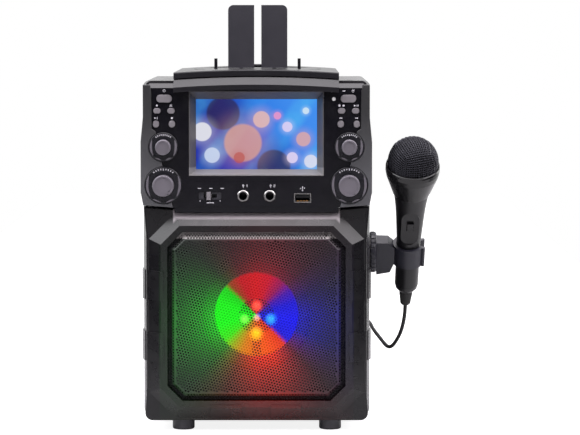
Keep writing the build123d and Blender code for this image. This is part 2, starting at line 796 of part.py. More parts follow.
# ------------------------------------------------------------------ screen: funnel, glass, module
bezel_back = panel_front + bezel_depth
with BuildPart() as screen_bezel:
    bezel_middle = (bezel_high + bezel_low) / 2
    window_middle = (window_high + window_low) / 2
    with BuildSketch(facing(bezel_back)):
        with Locations((0, bezel_middle)):
            Rectangle(2 * bezel_half, bezel_high - bezel_low)
    extrude(amount=bezel_depth)
    with BuildSketch(facing(bezel_back)):
        with Locations((0, window_middle)):
            Rectangle(2 * window_half, window_high - window_low)
    with BuildSketch(facing(panel_front)):
        with Locations((0, bezel_middle)):
            Rectangle(2 * bezel_half - 1.6, bezel_high - bezel_low - 1.6)
    loft(mode=Mode.SUBTRACT)
save(screen_bezel, "screen_bezel")

with BuildPart() as screen_glass:
    block(
        (-window_half - 2, bezel_back, window_low - 2),
        (window_half + 2, bezel_back + glass_thickness, window_high + 2),
    )
save(screen_glass, "screen_glass")

with BuildPart() as screen_module:
    block(
        (-window_half - 3.8, bezel_back + glass_thickness, window_low - 4.5),
        (window_half + 3.8, bezel_back + glass_thickness + module_thickness, window_high + 4.5),
    )
    fillet(screen_module.edges().filter_by(Axis.Y), 1.0)
    block(
        (-window_half - 1, bezel_back + glass_thickness + module_thickness, window_low + 8),
        (window_half - 30, bezel_back + glass_thickness + module_thickness + 1.2, window_high - 20),
    )
save(screen_module, "screen_module")

# ------------------------------------------------------------------ buttons
for name, (x, z, size) in button_places.items():
    with BuildPart() as button:
        with BuildSketch(facing(panel_back + slip)):
            with Locations((x, z)):
                button_outline(size, 0)
        extrude(amount=panel_back + slip - panel_front + button_proud)
        fillet(button.faces().sort_by(Axis.Y)[0].edges(), 0.4)
        with BuildSketch(facing(panel_back + slip + 1.0)):
            with Locations((x, z)):
                button_outline(size, button_flange)
        extrude(amount=1.0)
        bar_y(x, z, 1.5, panel_back + slip, tact_front - tact_gap)
    save(button, name)

# ------------------------------------------------------------------ knobs, rings and the controls behind
ring_front = panel_front - ring_thickness
for name, (x, z, cap, ring) in knob_places.items():
    with BuildPart() as knob:
        bar_y(x, z, cap, -knob_proud, ring_front - slip)
        fillet(knob.faces().sort_by(Axis.Y)[0].edges(), 0.8)
        with BuildSketch(facing(-knob_proud)):
            with Locations((x, z)):
                Circle(cap - 1.8)
        extrude(amount=-0.5, mode=Mode.SUBTRACT)
        with BuildSketch(facing(-knob_proud + 1.0)):
            with Locations((x, z)):
                with PolarLocations(cap - 0.9, 1, 300):
                    Circle(0.6)
        extrude(amount=1.0, mode=Mode.SUBTRACT)
        bar_y(x, z, stem_radius, ring_front - slip, panel_back + pot_depth - 1.5)
    save(knob, name)

with BuildPart() as knob_rings:
    for x, z, cap, ring in knob_places.values():
        bar_y(x, z, ring, ring_front, panel_front)
    fillet(knob_rings.faces().group_by(Axis.Y)[0].edges(), 0.6)
    for x, z, cap, ring in knob_places.values():
        with BuildSketch(facing(ring_front + 0.6)):
            with Locations((x, z)):
                Circle(ring - 1.6)
                Circle(ring - 2.2, mode=Mode.SUBTRACT)
        extrude(amount=0.6, mode=Mode.SUBTRACT)
        bar_y(x, z, stem_radius + 0.5, ring_front, panel_front, Mode.SUBTRACT)
save(knob_rings, "knob_rings")

with BuildPart() as potentiometers:
    for x, z, cap, ring in knob_places.values():
        bar_y(x, z, pot_radius, panel_back, panel_back + pot_depth)
        block((x - 4, panel_back + 2, z - pot_radius - 3), (x + 4, panel_back + 4, z))
        bar_y(x, z, stem_radius + running, panel_back, panel_back + pot_depth - 1.2, Mode.SUBTRACT)
save(potentiometers, "potentiometers")

# ------------------------------------------------------------------ cheeks at the panel's sides
cheek_tip = ear_inner + 1.3
cheek_edge = [
    (cheek_half, ear_height(cheek_half, slip)), (cheek_bulge, large_knob_z - 5.9),
    (cheek_bulge, small_knob_z + 4.1), (cheek_half, small_knob_z + 24.1), (cheek_half, cheek_high),
]
cheek_points = [
    (cheek_tip, ear_height(cheek_tip, slip)), *cheek_edge,
    (panel_half - 0.9, cheek_high), (panel_half - 1.9, cheek_high - 6.0),
    (panel_half - 2.2, small_knob_z + 14.6), (panel_half - 5.2, small_knob_z + 12.6),
    (knob_x + 1.2, small_knob_z - 13.7),
]
with BuildPart() as side_cheeks:
    for side in (-1, 1):
        with BuildSketch(facing(panel_front)):
            with BuildLine():
                Polyline(*((side * x, z) for x, z in cheek_points), close=True)
            make_face()
            for z, ring in ((small_knob_z, small_ring), (large_knob_z, large_ring)):
                with Locations((side * knob_x, z)):
                    Circle(ring + slip, mode=Mode.SUBTRACT)
        extrude(amount=panel_front - cheek_front)
    fillet(side_cheeks.faces().group_by(Axis.Y)[0].edges(), 0.6)
    for side in (-1, 1):
        with BuildSketch(facing(shell_front)):
            with BuildLine():
                Polyline(
                    (side * (panel_half + seat), ear_height(panel_half, slip)),
                    *((side * x, z) for x, z in cheek_edge),
                    (side * (panel_half + seat), cheek_high), close=True,
                )
            make_face()
        extrude(amount=shell_front - panel_front)
save(side_cheeks, "side_cheeks")

# ------------------------------------------------------------------ front sockets and the function switch
jack_board_top = usb_z - usb_size[1] / 2
with BuildPart() as mic_jacks:
    for x in (-jack_x, jack_x):
        bar_y(x, socket_z, jack_nut, pad_front - 1.0, pad_front)
        bar_y(x, socket_z, jack_nut - 0.7, pad_front, panel_back)
        block(
            (x - jack_body[0] / 2, panel_back, jack_board_top),
            (x + jack_body[0] / 2, panel_back + jack_body[2], socket_z + jack_body[1] / 2),
        )
    chamfer(mic_jacks.faces().group_by(Axis.Y)[0].edges(), 0.5)
    for x in (-jack_x, jack_x):
        bar_y(x, socket_z, jack_hole, pad_front - 1.0, panel_back + jack_body[2] - 2, Mode.SUBTRACT)
save(mic_jacks, "mic_jacks")

with BuildPart() as usb_port:
    usb_wall = 0.8
    usb_half = (usb_size[0] / 2, usb_size[1] / 2)
    block(
        (usb_x - usb_half[0], pad_front + 0.2, usb_z - usb_half[1]),
        (usb_x + usb_half[0], pad_front + usb_depth, usb_z + usb_half[1]),
    )
    block(
        (usb_x - usb_half[0] + usb_wall, pad_front, usb_z - usb_half[1] + usb_wall),
        (usb_x + usb_half[0] - usb_wall, pad_front + usb_depth - 2, usb_z + usb_half[1] - usb_wall),
        Mode.SUBTRACT,
    )
    block(
        (usb_x - usb_half[0] + usb_wall + 0.6, pad_front + 1.2, usb_z + 0.2),
        (usb_x + usb_half[0] - usb_wall - 0.6, pad_front + usb_depth, usb_z + 2.0),
    )
save(usb_port, "usb_port")

switch_front = panel_back + 1.8
with BuildPart() as function_slider:
    nub_front = pad_front - 0.4
    block(
        (slider_x - slider_size[0] / 2, nub_front, socket_z - slider_size[1] / 2),
        (slider_x + slider_size[0] / 2, pad_front + pocket_depth - 0.1, socket_z + slider_size[1] / 2),
    )
    fillet(function_slider.faces().sort_by(Axis.Y)[0].edges(), 0.3)
    block(
        (slider_x - 1.0, pad_front + 0.2, socket_z - 1.2),
        (slider_x + 1.0, panel_back + 0.2, socket_z + 1.2),
    )
    block(
        (slider_x - 2.5, panel_back + 0.2, socket_z - 2.6),
        (slider_x + 2.5, switch_front - 0.2, socket_z + 2.6),
    )
save(function_slider, "function_slider")

with BuildPart() as switches:
    for x, z, size in button_places.values():
        block(
            (x - tact_size / 2, tact_front, z - tact_size / 2),
            (x + tact_size / 2, key_board_front, z + tact_size / 2),
        )
    block(
        (slot_left - 4, switch_front, jack_board_top),
        (slot_right + 4, switch_front + 6.0, socket_z + 3.5),
    )
save(switches, "switches")

with BuildPart() as circuit_boards:
    for left, right in key_boards:
        block(
            (left, key_board_front, lower_z - tact_size / 2 - 1.5),
            (right, key_board_front + key_board_thickness, pill_z + tact_size / 2 + 1.0),
        )
    block(
        (-jack_board_half, panel_back + 2, jack_board_top - jack_board_thickness),
        (jack_board_half, panel_back + 34, jack_board_top),
    )
    board_back = shell_rear - 6
    block(
        (-main_board[0] / 2, board_back - main_board[1], main_board_z),
        (main_board[0] / 2, board_back, main_board_z + main_board[2]),
    )
save(circuit_boards, "circuit_boards")

# ------------------------------------------------------------------ visor over the screen
visor_top = visor_low + visor_lip + visor_rise
visor_back = panel_front - 0.1
arch_centre = Axis((0, 0, lid_crown - arch_radius), (0, 1, 0))


def arched_strip(outline, half):
    """Strip that follows the arch across the top from one side-view outline, cut square at both ends."""
    with BuildPart() as strip:
        with BuildSketch(Plane.YZ):
            Polygon(*outline, align=None)
        revolve(axis=arch_centre, revolution_arc=math.degrees(math.asin(half / (arch_radius - 20))) + 0.1)
        mirror(about=Plane.YZ)
    return strip.part


visor_bar = arched_strip([
    (visor_front, visor_low), (visor_front, visor_low + visor_lip),
    (visor_front + visor_run, visor_top), (visor_back, visor_top), (visor_back, visor_low),
], visor_half)
with BuildPart() as visor:
    add(visor_bar)
    for side in (-1, 1):
        ends = sorted((side * visor_half, side * (visor_half + 20)))
        block(
            (ends[0], visor_front - 1, visor_low - 20),
            (ends[1], visor_back + 1, visor_top + 5), Mode.SUBTRACT,
        )
    block((-visor_half, visor_back - 1, panel_top + seat), (visor_half, shell_front - slip, shell_top - seat))
save(visor, "visor")

# ------------------------------------------------------------------ disc lid with ears, stops and lugs
lip_back = panel_front
skirt_low = shell_top + slip
skirt_front = lip_back + 1.0
rest_z = lid_flat + rest_axis_rise
rest_half = rest_gap / 2 + rest_plate
rest_axis_y = rest_y + rest_thickness / 2 + rest_axis_back
rest_knuckle = rest_axis_back - 0.4
lug_inner = rest_gap / 2 + rest_plate / 2 - 1.5
lug_outer = lug_inner + 3.0
pin_reach = ear_x[1] + 0.4 + lug_width - 0.3
lid_above = arched_strip([
    (lid_front - 1, lid_crown - lid_thickness / 2), (lid_rear + 1, lid_crown - lid_thickness / 2),
    (lid_rear + 1, lid_crown + 12), (lid_front - 1, lid_crown + 12),
], lid_half + 2)
lid_cover = arched_strip([
    (lid_front, lid_crown - 0.8), (lid_front + 0.25, lid_crown - 0.25), (lid_front + 0.8, lid_crown),
    (lid_rear, lid_crown), (lid_rear, lid_crown - lid_thickness), (lip_back, lid_crown - lid_thickness),
    (lip_back, lid_crown - lid_thickness - lid_lip), (lid_front, lid_crown - lid_thickness - lid_lip),
], lid_half)
with BuildPart() as disc_lid:
    for side in (-1, 1):
        walls = sorted((side * (lid_half - 2), side * lid_half))
        block((walls[0], skirt_front, skirt_low), (walls[1], lid_rear - 2, lid_crown))
        ears = sorted((side * ear_x[0], side * ear_x[1]))
        block((ears[0], hinge_y - 3, hinge_z), (ears[1], hinge_y + 3, lid_crown))
        bar_x(hinge_y, hinge_z, 3.0, *ears)
        pins = sorted((side * (ear_x[1] - 1), side * pin_reach))
        bar_x(hinge_y, hinge_z, hinge_pin, *pins)
    block((-lid_half, skirt_front, skirt_low), (lid_half, skirt_front + 2, lid_crown))
    add(lid_above, mode=Mode.SUBTRACT)
    add(lid_cover)
    for side in (-1, 1):
        ends = sorted((side * lid_half, side * (lid_half + 20)))
        block((ends[0], lid_front - 1, skirt_low - 9), (ends[1], lid_rear + 1, lid_crown + 5), Mode.SUBTRACT)
    groove = platform_radius + platform_groove
    bar_z(0, platform_y, groove, lid_flat - 0.5, lid_crown + 1, Mode.SUBTRACT)
    bar_z(0, platform_y, platform_radius, lid_crown - lid_thickness - 0.8, lid_flat)
    for side in (-1, 1):
        stop = (side * stop_x - stop_size[0] / 2, side * stop_x + stop_size[0] / 2)
        block(
            (stop[0], stop_y - stop_size[1] / 2, lid_flat - 0.5),
            (stop[1], stop_y + stop_size[1] / 2, lid_flat + stop_height),
        )
        lugs = sorted((side * lug_inner, side * lug_outer))
        block(
            (lugs[0], rest_axis_y - rest_knuckle, lid_flat - 0.5),
            (lugs[1], rest_axis_y + rest_knuckle, rest_z),
        )
        bar_x(rest_axis_y, rest_z, rest_knuckle, *lugs)
        bar_x(rest_axis_y, rest_z, rest_pin + running, *lugs, Mode.SUBTRACT)
save(disc_lid, "disc_lid")

# ------------------------------------------------------------------ folding tablet rest
with BuildPart() as tablet_rest:
    bar_x(rest_axis_y, rest_z, rest_pin, -rest_half + 1, rest_half - 1)
    for side in (-1, 1):
        with BuildSketch(facing(rest_y + rest_thickness / 2)) as plate_outline:
            with Locations((side * (rest_gap + rest_plate) / 2, lid_flat + (rest_height + slip) / 2)):
                Rectangle(rest_plate, rest_height - slip)
            top_corners = plate_outline.vertices().group_by(Axis.Y)[-1].sort_by(Axis.X)
            fillet(top_corners[0 if side < 0 else -1], rest_corner)
        extrude(amount=rest_thickness)
        for inner, outer in ((rest_gap / 2 + 1, lug_inner - slip), (lug_outer + slip, rest_half - 1)):
            knuckle = sorted((side * inner, side * outer))
            bar_x(rest_axis_y, rest_z, rest_axis_rise - seat, *knuckle)
            block((knuckle[0], rest_y, rest_z - 1.6), (knuckle[1], rest_axis_y, rest_z + 1.6))
save(tablet_rest, "tablet_rest")

# ------------------------------------------------------------------ disc deck
deck_low = shell_top - deck_thickness
well_floor_top = shell_top - well_depth
well_under = well_floor_top - well_floor
mechanism_top = well_under - mechanism_drop
mechanism_under = mechanism_top - mechanism_plate_thickness
lens_radius = 4.0
sled_outer_x = sled_inner_x + sled_travel
flange_top = shell_top - wall - seat
pillar_reach = well_radius - 18
with BuildPart() as disc_deck:
    block((-deck_half, shell_front + slip, deck_low), (deck_half, shell_rear, shell_top))
    for side in (-1, 1):
        walls = sorted((side * (deck_half - 2), side * deck_half))
        block((walls[0], shell_front + slip, flange_top - 2), (walls[1], shell_rear, shell_top))
        flanges = sorted((side * (deck_half - 2), side * deck_flange))
        block((flanges[0], shell_front + slip, flange_top - 2), (flanges[1], shell_rear - 1, flange_top))
    block((-deck_half, shell_rear - 2.5, notch_low - 6), (deck_half, shell_rear, shell_top))
    bar_z(0, well_y, well_radius + 2, well_under, shell_top)
    bar_z(0, well_y, well_radius, well_floor_top, shell_top + 1, Mode.SUBTRACT)
    bar_z(0, well_y, hub_hole, well_under - 1, well_floor_top + 1, Mode.SUBTRACT)
    slot_half = lens_radius + 1.5
    block(
        (0, well_y - slot_half, well_under - 1),
        (sled_outer_x + lens_radius + 0.8, well_y + slot_half, well_floor_top + 1), Mode.SUBTRACT,
    )
    for x in (-pillar_reach, pillar_reach):
        for y in (well_y - 34, well_y + 34):
            bar_z(x, y, 3.5, mechanism_top, well_under + 1)
    for side in (-1, 1):
        ears = sorted((side * (ear_x[0] - 0.5), side * (ear_x[1] + 0.4)))
        block(
            (ears[0], shell_rear - 2.6, deck_low - 0.6),
            (ears[1], shell_rear + 1, shell_top + 1), Mode.SUBTRACT,
        )
        lugs = sorted((side * (ear_x[1] + 0.4), side * (ear_x[1] + 0.4 + lug_width)))
        block((lugs[0], hinge_y - 7, deck_low), (lugs[1], hinge_y, hinge_z + lug_radius - 0.6))
        bar_x(hinge_y, hinge_z, lug_radius, *lugs)
        bar_x(hinge_y, hinge_z, hinge_pin + running, *lugs, Mode.SUBTRACT)
save(disc_deck, "disc_deck")

# ------------------------------------------------------------------ disc mechanism
rail_z = mechanism_under - rail_drop
rail_left = sled_inner_x - sled_width / 2 - 4
rail_right = sled_outer_x + sled_width / 2 + 6
rack_pitch_y = well_y + rail_spread + 7.0
gear_radius = gear_teeth * gear_module / 2
gear_y = rack_pitch_y + gear_radius
sled_low = rail_z - 6.5
tooth_rise = 0.6
tooth_root = 0.8
tooth_half = 0.5
gear_pitch = math.pi * gear_module
motor_drop = 10.5
with BuildPart() as mechanism_plate:
    plate_half = pillar_reach + 6
    block((-plate_half, well_y - 40, mechanism_under), (rail_right + 4, well_y + 40, mechanism_top))
    bar_z(0, well_y, 3.6, mechanism_under, mechanism_top, Mode.SUBTRACT)
    block(
        (sled_inner_x - lens_radius - 1, well_y - slot_half, mechanism_under - 1),
        (sled_outer_x + lens_radius + 1, well_y + slot_half, mechanism_top + 1), Mode.SUBTRACT,
    )
    for y in (well_y - rail_spread, well_y + rail_spread):
        for x in (rail_left, rail_right):
            block((x - 1, y - 2.8, rail_z - 2.5), (x + 1, y + 2.8, mechanism_under))
        bar_x(y, rail_z, rail_radius, rail_left, rail_right)
save(mechanism_plate, "mechanism_plate")

with BuildPart() as drive_motors:
    bar_z(0, well_y, 11.0, mechanism_under - motor_drop, mechanism_under)
    bar_z(0, well_y, shaft_radius, mechanism_under, well_floor_top + 4)
    bar_z(gear_x, gear_y, 7.5, mechanism_under - 7, mechanism_under)
    bar_z(gear_x, gear_y, shaft_radius, sled_low - 0.5, mechanism_under - 7)
save(drive_motors, "drive_motors")

table_low = well_floor_top + 0.4
with BuildPart() as turntable:
    bar_z(0, well_y, 3.2, mechanism_top + slip, table_low)
    bar_z(0, well_y, table_radius, table_low, table_low + 1.5)
    bar_z(0, well_y, disc_hole - 0.15, table_low + 1.5, table_low + 5)
    fillet(turntable.faces().sort_by(Axis.Z)[-1].edges(), 1.0)
    bar_z(0, well_y, shaft_radius + running, mechanism_top, well_floor_top + 4.3, Mode.SUBTRACT)
save(turntable, "turntable")


def rack_tooth(x):
    """Outline of one tooth of the sled's rack, pointing to the gear."""
    Polygon(
        (x - tooth_half - 0.3, rack_pitch_y - tooth_root - 0.2),
        (x + tooth_half + 0.3, rack_pitch_y - tooth_root - 0.2),
        (x + tooth_half - 0.2, rack_pitch_y + tooth_rise), (x - tooth_half + 0.2, rack_pitch_y + tooth_rise),
        align=None,
    )


rack_back = rack_pitch_y - tooth_root - 2.4
rack_left = gear_x - sled_travel - 3.5 * gear_pitch
with BuildPart() as pickup_sled:
    block(
        (sled_inner_x - sled_width / 2, well_y - rail_spread - 5, sled_low),
        (sled_inner_x + sled_width / 2, rack_back, mechanism_under - 0.5),
    )
    bar_z(sled_inner_x, well_y, lens_radius, mechanism_under - 0.5, well_floor_top + 0.4)
    block(
        (rack_left, rack_back, sled_low),
        (sled_inner_x + sled_width / 2, rack_pitch_y - tooth_root, sled_low + gear_thickness),
    )
    with BuildSketch(Plane.XY.offset(sled_low)):
        count = int((gear_x - rack_left) / gear_pitch)
        for index in range(-count, 2):
            rack_tooth(gear_x + (index + 0.5) * gear_pitch)
    extrude(amount=gear_thickness)
    sled_sides = (sled_inner_x - sled_width / 2, sled_inner_x + sled_width / 2)
    for y in (well_y - rail_spread, well_y + rail_spread):
        bar_x(y, rail_z, rail_radius + running, *sled_sides, Mode.SUBTRACT)
save(pickup_sled, "pickup_sled")

with BuildPart() as drive_gear:
    with BuildSketch(Plane.XY.offset(sled_low)):
        with Locations((gear_x, gear_y)):
            Circle(gear_radius - tooth_root)
        for index in range(gear_teeth):
            with Locations(Location((gear_x, gear_y, 0), (0, 0, 360 * index / gear_teeth))):
                Polygon(
                    (-tooth_half - 0.2, -gear_radius + tooth_root + 0.4),
                    (tooth_half + 0.2, -gear_radius + tooth_root + 0.4),
                    (tooth_half - 0.2, -gear_radius - tooth_rise),
                    (-tooth_half + 0.2, -gear_radius - tooth_rise),
                    align=None,
                )
        with Locations((gear_x, gear_y)):
            Circle(shaft_radius + running, mode=Mode.SUBTRACT)
    extrude(amount=gear_thickness)
save(drive_gear, "drive_gear")

# ------------------------------------------------------------------ feet, battery, rear sockets and screws
foot_depths = (shell_front + foot_inset, shell_rear - foot_rear_inset)
foot_places = [(x, y) for x in (-foot_reach, foot_reach) for y in foot_depths]
foot_recess = 5.0
with BuildPart() as feet:
    for x, y in foot_places:
        bar_z(x, y, foot_radius, 0, foot_height)
    fillet(feet.faces().group_by(Axis.Z)[0].edges(), 1.5)
    for x, y in foot_places:
        bar_z(x, y, screw_head + 1, 0, foot_recess, Mode.SUBTRACT)
        bar_z(x, y, screw_shank + 0.2, foot_recess, foot_height, Mode.SUBTRACT)
save(feet, "feet")

battery_middle = shell_front + 66
with BuildPart() as battery_pack:
    block(
        (-battery_size[0] / 2, battery_middle - battery_size[1] / 2, shell_floor),
        (battery_size[0] / 2, battery_middle + battery_size[1] / 2, shell_floor + battery_size[2]),
    )
    fillet(battery_pack.edges().filter_by(Axis.X), battery_size[2] / 2 - 1.5)
save(battery_pack, "battery_pack")

with BuildPart() as rear_sockets:
    for x in socket_row:
        block((x - 5.5, shell_rear - 18, socket_low), (x + 5.5, shell_rear - slip, socket_low + 11))
        bar_y(x, socket_middle, socket_hole, shell_rear - slip, cover_back + 0.4)
        bore = 1.75 if x < socket_row[-1] else 3.0
        bar_y(x, socket_middle, bore, shell_rear - 12, cover_back + 0.4, Mode.SUBTRACT)
    bar_y(socket_row[-1], socket_middle, 1.0, shell_rear - 13, cover_back - 1)
save(rear_sockets, "rear_sockets")

with BuildPart() as screws:
    for side in (-1, 1):
        for height in rear_screw_heights:
            x = side * rear_screw_reach
            bar_y(x, height, screw_head, cover_back, cover_back + 1.8)
            bar_y(x, height, screw_shank, shell_rear - 16, cover_back)
    for x, y in foot_places:
        bar_z(x, y, screw_head, foot_recess - 1.8, foot_recess)
        bar_z(x, y, screw_shank, foot_recess, shell_floor + 4)
    for x, z in speaker_screws:
        bar_y(x, z, screw_head, flange_back, flange_back + 1.8)
        bar_y(x, z, screw_shank, shell_front - baffle_plate + 1.2, flange_back)
    bar_x(mic_y, mic_z, screw_head, cabinet_half_front - 13.8, cabinet_half_front - 12)
    bar_x(mic_y, mic_z, screw_shank, cabinet_half_front - 12, holder_disc_x - 1.5)
save(screws, "screws")

# ------------------------------------------------------------------ microphone clip on the side
with BuildPart() as holder_base:
    bar_x(mic_y, mic_z, holder_disc_radius, holder_boss_x, holder_disc_x)
    fillet(holder_base.edges().filter_by(GeomType.CIRCLE).sort_by(Axis.X)[-1], 2.4)
    fillet(holder_base.edges().filter_by(GeomType.CIRCLE).sort_by(Axis.X)[0], 1.2)
    for turn in range(0, 360, 15):
        y = mic_y + holder_disc_radius * math.cos(math.radians(turn))
        z = mic_z + holder_disc_radius * math.sin(math.radians(turn))
        bar_x(y, z, 0.7, holder_boss_x, holder_disc_x, Mode.SUBTRACT)
    bar_x(mic_y, mic_z, screw_shank + running, holder_boss_x, holder_disc_x - 1, Mode.SUBTRACT)
save(holder_base, "holder_base")

clip_bore = mic_profile[2][0] + clip_clearance
clip_outer = clip_bore + clip_wall
clip_middle = (clip_bore + clip_outer) / 2
arm_left = holder_disc_x - mic_x
mouth = math.radians(clip_mouth)
with BuildPart() as mic_holder:
    with BuildSketch(mic_section) as arm_outline:
        Polygon(
            (arm_left - 1, 12.0), (arm_left + 9.2, 12.0), (-clip_middle, 7.0), (-clip_middle, -8.5),
            (arm_left + 11.7, -17.0), (arm_left - 1, -20.0), align=None,
        )
        fillet(arm_outline.vertices().group_by(Axis.X)[1:-1][0], 2.0)
    extrude(amount=6.0, both=True)
    block((holder_disc_x - 6, mic_y - 40, mic_z - 40), (holder_disc_x, mic_y + 40, mic_z + 40), Mode.SUBTRACT)
    with BuildSketch(mic_plane.offset(-clip_height / 2)):
        Circle(clip_outer)
        Polygon(
            (0, 0), (40, 40 * math.tan(mouth)), (40, -40 * math.tan(mouth)),
            mode=Mode.SUBTRACT, align=None,
        )
        lip_reach = clip_middle + clip_lip / 2
        for side in (-1, 1):
            with Locations((lip_reach * math.cos(mouth), side * lip_reach * math.sin(mouth))):
                SlotCenterToCenter(clip_lip, clip_wall, rotation=side * clip_mouth)
    extrude(amount=clip_height)
    with BuildSketch(mic_plane.offset(-clip_height)):
        Circle(clip_bore)
    extrude(amount=2 * clip_height, mode=Mode.SUBTRACT)
save(mic_holder, "mic_holder")

# ------------------------------------------------------------------ microphone
mic_turn = Axis(mic_pivot, mic_axis)
body_low = mic_shoulder[-1][1]
body_high = mic_profile[-1][1]
switch_middle = (switch_low + switch_high) / 2
switch_slope = math.atan((mic_profile[4][0] - mic_profile[2][0]) / (mic_profile[4][1] - mic_profile[2][1]))
switch_face = (mic_profile[4][0] + mic_profile[2][0]) / 2 - switch_sink
switch_plane = Plane(
    origin=mic_pivot + mic_axis * switch_middle + mic_front * switch_face, x_dir=mic_side,
    z_dir=mic_front * math.cos(switch_slope) - mic_axis * math.sin(switch_slope),
)
nub_y = switch_centre - switch_middle
with BuildPart() as mic_body:
    with BuildSketch(mic_section):
        with BuildLine():
            Polyline((0, body_low), mic_shoulder[1], mic_shoulder[0], mic_profile[0])
            Spline(*mic_profile)
            Line(mic_profile[-1], (mic_profile[-1][0] - mic_wall, body_high))
            Spline(*((radius - mic_wall, height) for radius, height in reversed(mic_profile)))
            Polyline((mic_profile[0][0] - mic_wall, mic_profile[0][1]), (0, mic_profile[0][1]), (0, body_low))
        make_face()
    revolve(axis=mic_turn)
    with BuildSketch(switch_plane):
        SlotOverall(switch_high - switch_low, switch_width, rotation=90)
    extrude(amount=4.0, mode=Mode.SUBTRACT)
    with BuildSketch(switch_plane):
        SlotOverall(switch_high - switch_low, switch_width, rotation=90)
    extrude(amount=-2.6)
    with BuildSketch(switch_plane):
        with Locations((0, nub_y + switch_travel / 2)):
            Rectangle(switch_nub[0] + 0.6, switch_nub[1] + switch_travel + 0.6)
    extrude(amount=-1.3, mode=Mode.SUBTRACT)
save(mic_body, "mic_body")

with BuildPart() as mic_switch:
    with BuildSketch(switch_plane.offset(-1.1)):
        with Locations((0, nub_y)):
            Rectangle(*switch_nub)
    extrude(amount=2.3)
    fillet(mic_switch.faces().filter_by(lambda f: f.normal_at().dot(switch_plane.z_dir) > 0.99).edges(), 0.5)
save(mic_switch, "mic_switch")

head_point = mic_pivot + mic_axis * head_centre
with BuildPart() as mic_head:
    with Locations(head_point):
        Sphere(head_radius)
        Sphere(head_radius - head_wall, mode=Mode.SUBTRACT)
    with BuildSketch(mic_plane.offset(head_cut - 2 * head_radius)):
        Circle(2 * head_radius)
    extrude(amount=2 * head_radius, mode=Mode.SUBTRACT)
save(mic_head, "mic_head")

with BuildPart() as mic_collar:
    revolved([(0, collar_profile[0][1]), *collar_profile, (0, collar_profile[-1][1])], mic_section, mic_turn)
    with Locations(head_point):
        Sphere(head_radius + 0.15, mode=Mode.SUBTRACT)
    with BuildSketch(mic_section):
        Polygon(
            (0, body_high), (collar_profile[0][0] - 1.1, body_high),
            (collar_profile[1][0] - 2.8, head_cut - 1), (0, head_cut - 1), align=None,
        )
    revolve(axis=mic_turn, mode=Mode.SUBTRACT)
save(mic_collar, "mic_collar")

with BuildPart() as mic_capsule:
    revolved([
        (0, body_high), (collar_profile[0][0] - 1.3, body_high), (collar_profile[0][0] - 1.3, body_high + 2),
        (capsule_radius, body_high + 2), (capsule_radius, body_high + 2 + capsule_height),
        (0, body_high + 2 + capsule_height),
    ], mic_section, mic_turn)
save(mic_capsule, "mic_capsule")

relief_low = body_low - relief_length
with BuildPart() as mic_strain_relief:
    revolved([
        (0, relief_low), (relief_end - 0.9, relief_low), (relief_end, relief_low + 1.2),
        (relief_top, body_low), (0, body_low),
    ], mic_section, mic_turn)
save(mic_strain_relief, "mic_strain_relief")

# ------------------------------------------------------------------ cord, its stored coil and its plug
cord_exit = mic_pivot + mic_axis * relief_low
coil_outer = coil_mean + coil_columns * cord_radius
coil_inner = coil_mean - coil_columns * cord_radius
cord_points = [
    tuple(cord_exit), tuple(cord_exit - mic_axis * 12), (mic_x - 4.3, mic_y + 42.5, hook_z - 8.0),
    (mic_x - 12.7, mic_y + 58.0, hook_z - 22.6), (mic_x - 21.0, mic_y + 82.0, hook_z - 16.5),
    (mic_x - 26.3, shell_rear - 8.0, hook_z - 11.5), (hook_x + 33.0, cover_back + 7.0, hook_z - 7.0),
    (hook_x + 14.0, cover_back + 7.0, hook_z + 0.6), (hook_x - 8.0, cover_back + 6.0, hook_z + 0.6),
    (hook_x - 24.0, cover_back + 9.0, hook_z - 12.0), (hook_x - 30.0, cover_back + 16.0, 40.0),
    (hook_x - 32.0, cover_back + 20.0, 22.0), (hook_x - 38.0, cover_back + 25.0, 5.0),
    (coil_x + 20.0, coil_y - 26.0, cord_radius),
    (coil_x, coil_y - coil_outer - cord_radius - slip, cord_radius),
]


def bend_radii(points):
    """Radius for each corner of a route: 0.45 of its shorter run over the tangent of half the turn."""
    corners = [Vector(*point) for point in points]
    radii = []
    for before, corner, after in zip(corners, corners[1:], corners[2:]):
        turn = math.radians((corner - before).get_angle(after - corner))
        radii.append(0.45 * min((corner - before).length, (after - corner).length) / math.tan(turn / 2))
    return radii


radii = bend_radii(cord_points)
with BuildPart() as mic_cord:
    with BuildLine() as cord_route:
        FilletPolyline(*cord_points, radius=radii)
    with BuildSketch(Plane(origin=cord_exit, z_dir=-mic_axis)):
        Circle(cord_radius)
    sweep(path=cord_route.wires()[0])
    tail_y = coil_y + coil_outer + cord_radius + slip
    tail_end = coil_x + 18.0
    bar_x(tail_y, plug_grip, cord_radius, coil_x, tail_end)
save(mic_cord, "mic_cord")

with BuildPart() as mic_cord_coil:
    with BuildSketch(Plane.XY):
        with Locations((coil_x, coil_y)):
            Circle(coil_outer)
            Circle(coil_inner, mode=Mode.SUBTRACT)
    extrude(amount=2 * cord_radius * coil_layers)
    fillet(mic_cord_coil.edges().filter_by(GeomType.CIRCLE), 1.4)
save(mic_cord_coil, "mic_cord_coil")

with BuildPart() as mic_plug:
    grip_end = tail_end + plug_grip_length
    bar_x(tail_y, plug_grip, plug_grip, tail_end, grip_end)
    fillet(mic_plug.edges().filter_by(GeomType.CIRCLE), 0.8)
    bar_x(tail_y, plug_grip, plug_tip, grip_end, grip_end + plug_tip_length)
    with BuildSketch(Plane.YZ.offset(grip_end + plug_tip_length)):
        with Locations((tail_y, plug_grip)):
            Circle(plug_tip)
    extrude(amount=2.4, taper=35)
save(mic_plug, "mic_plug")
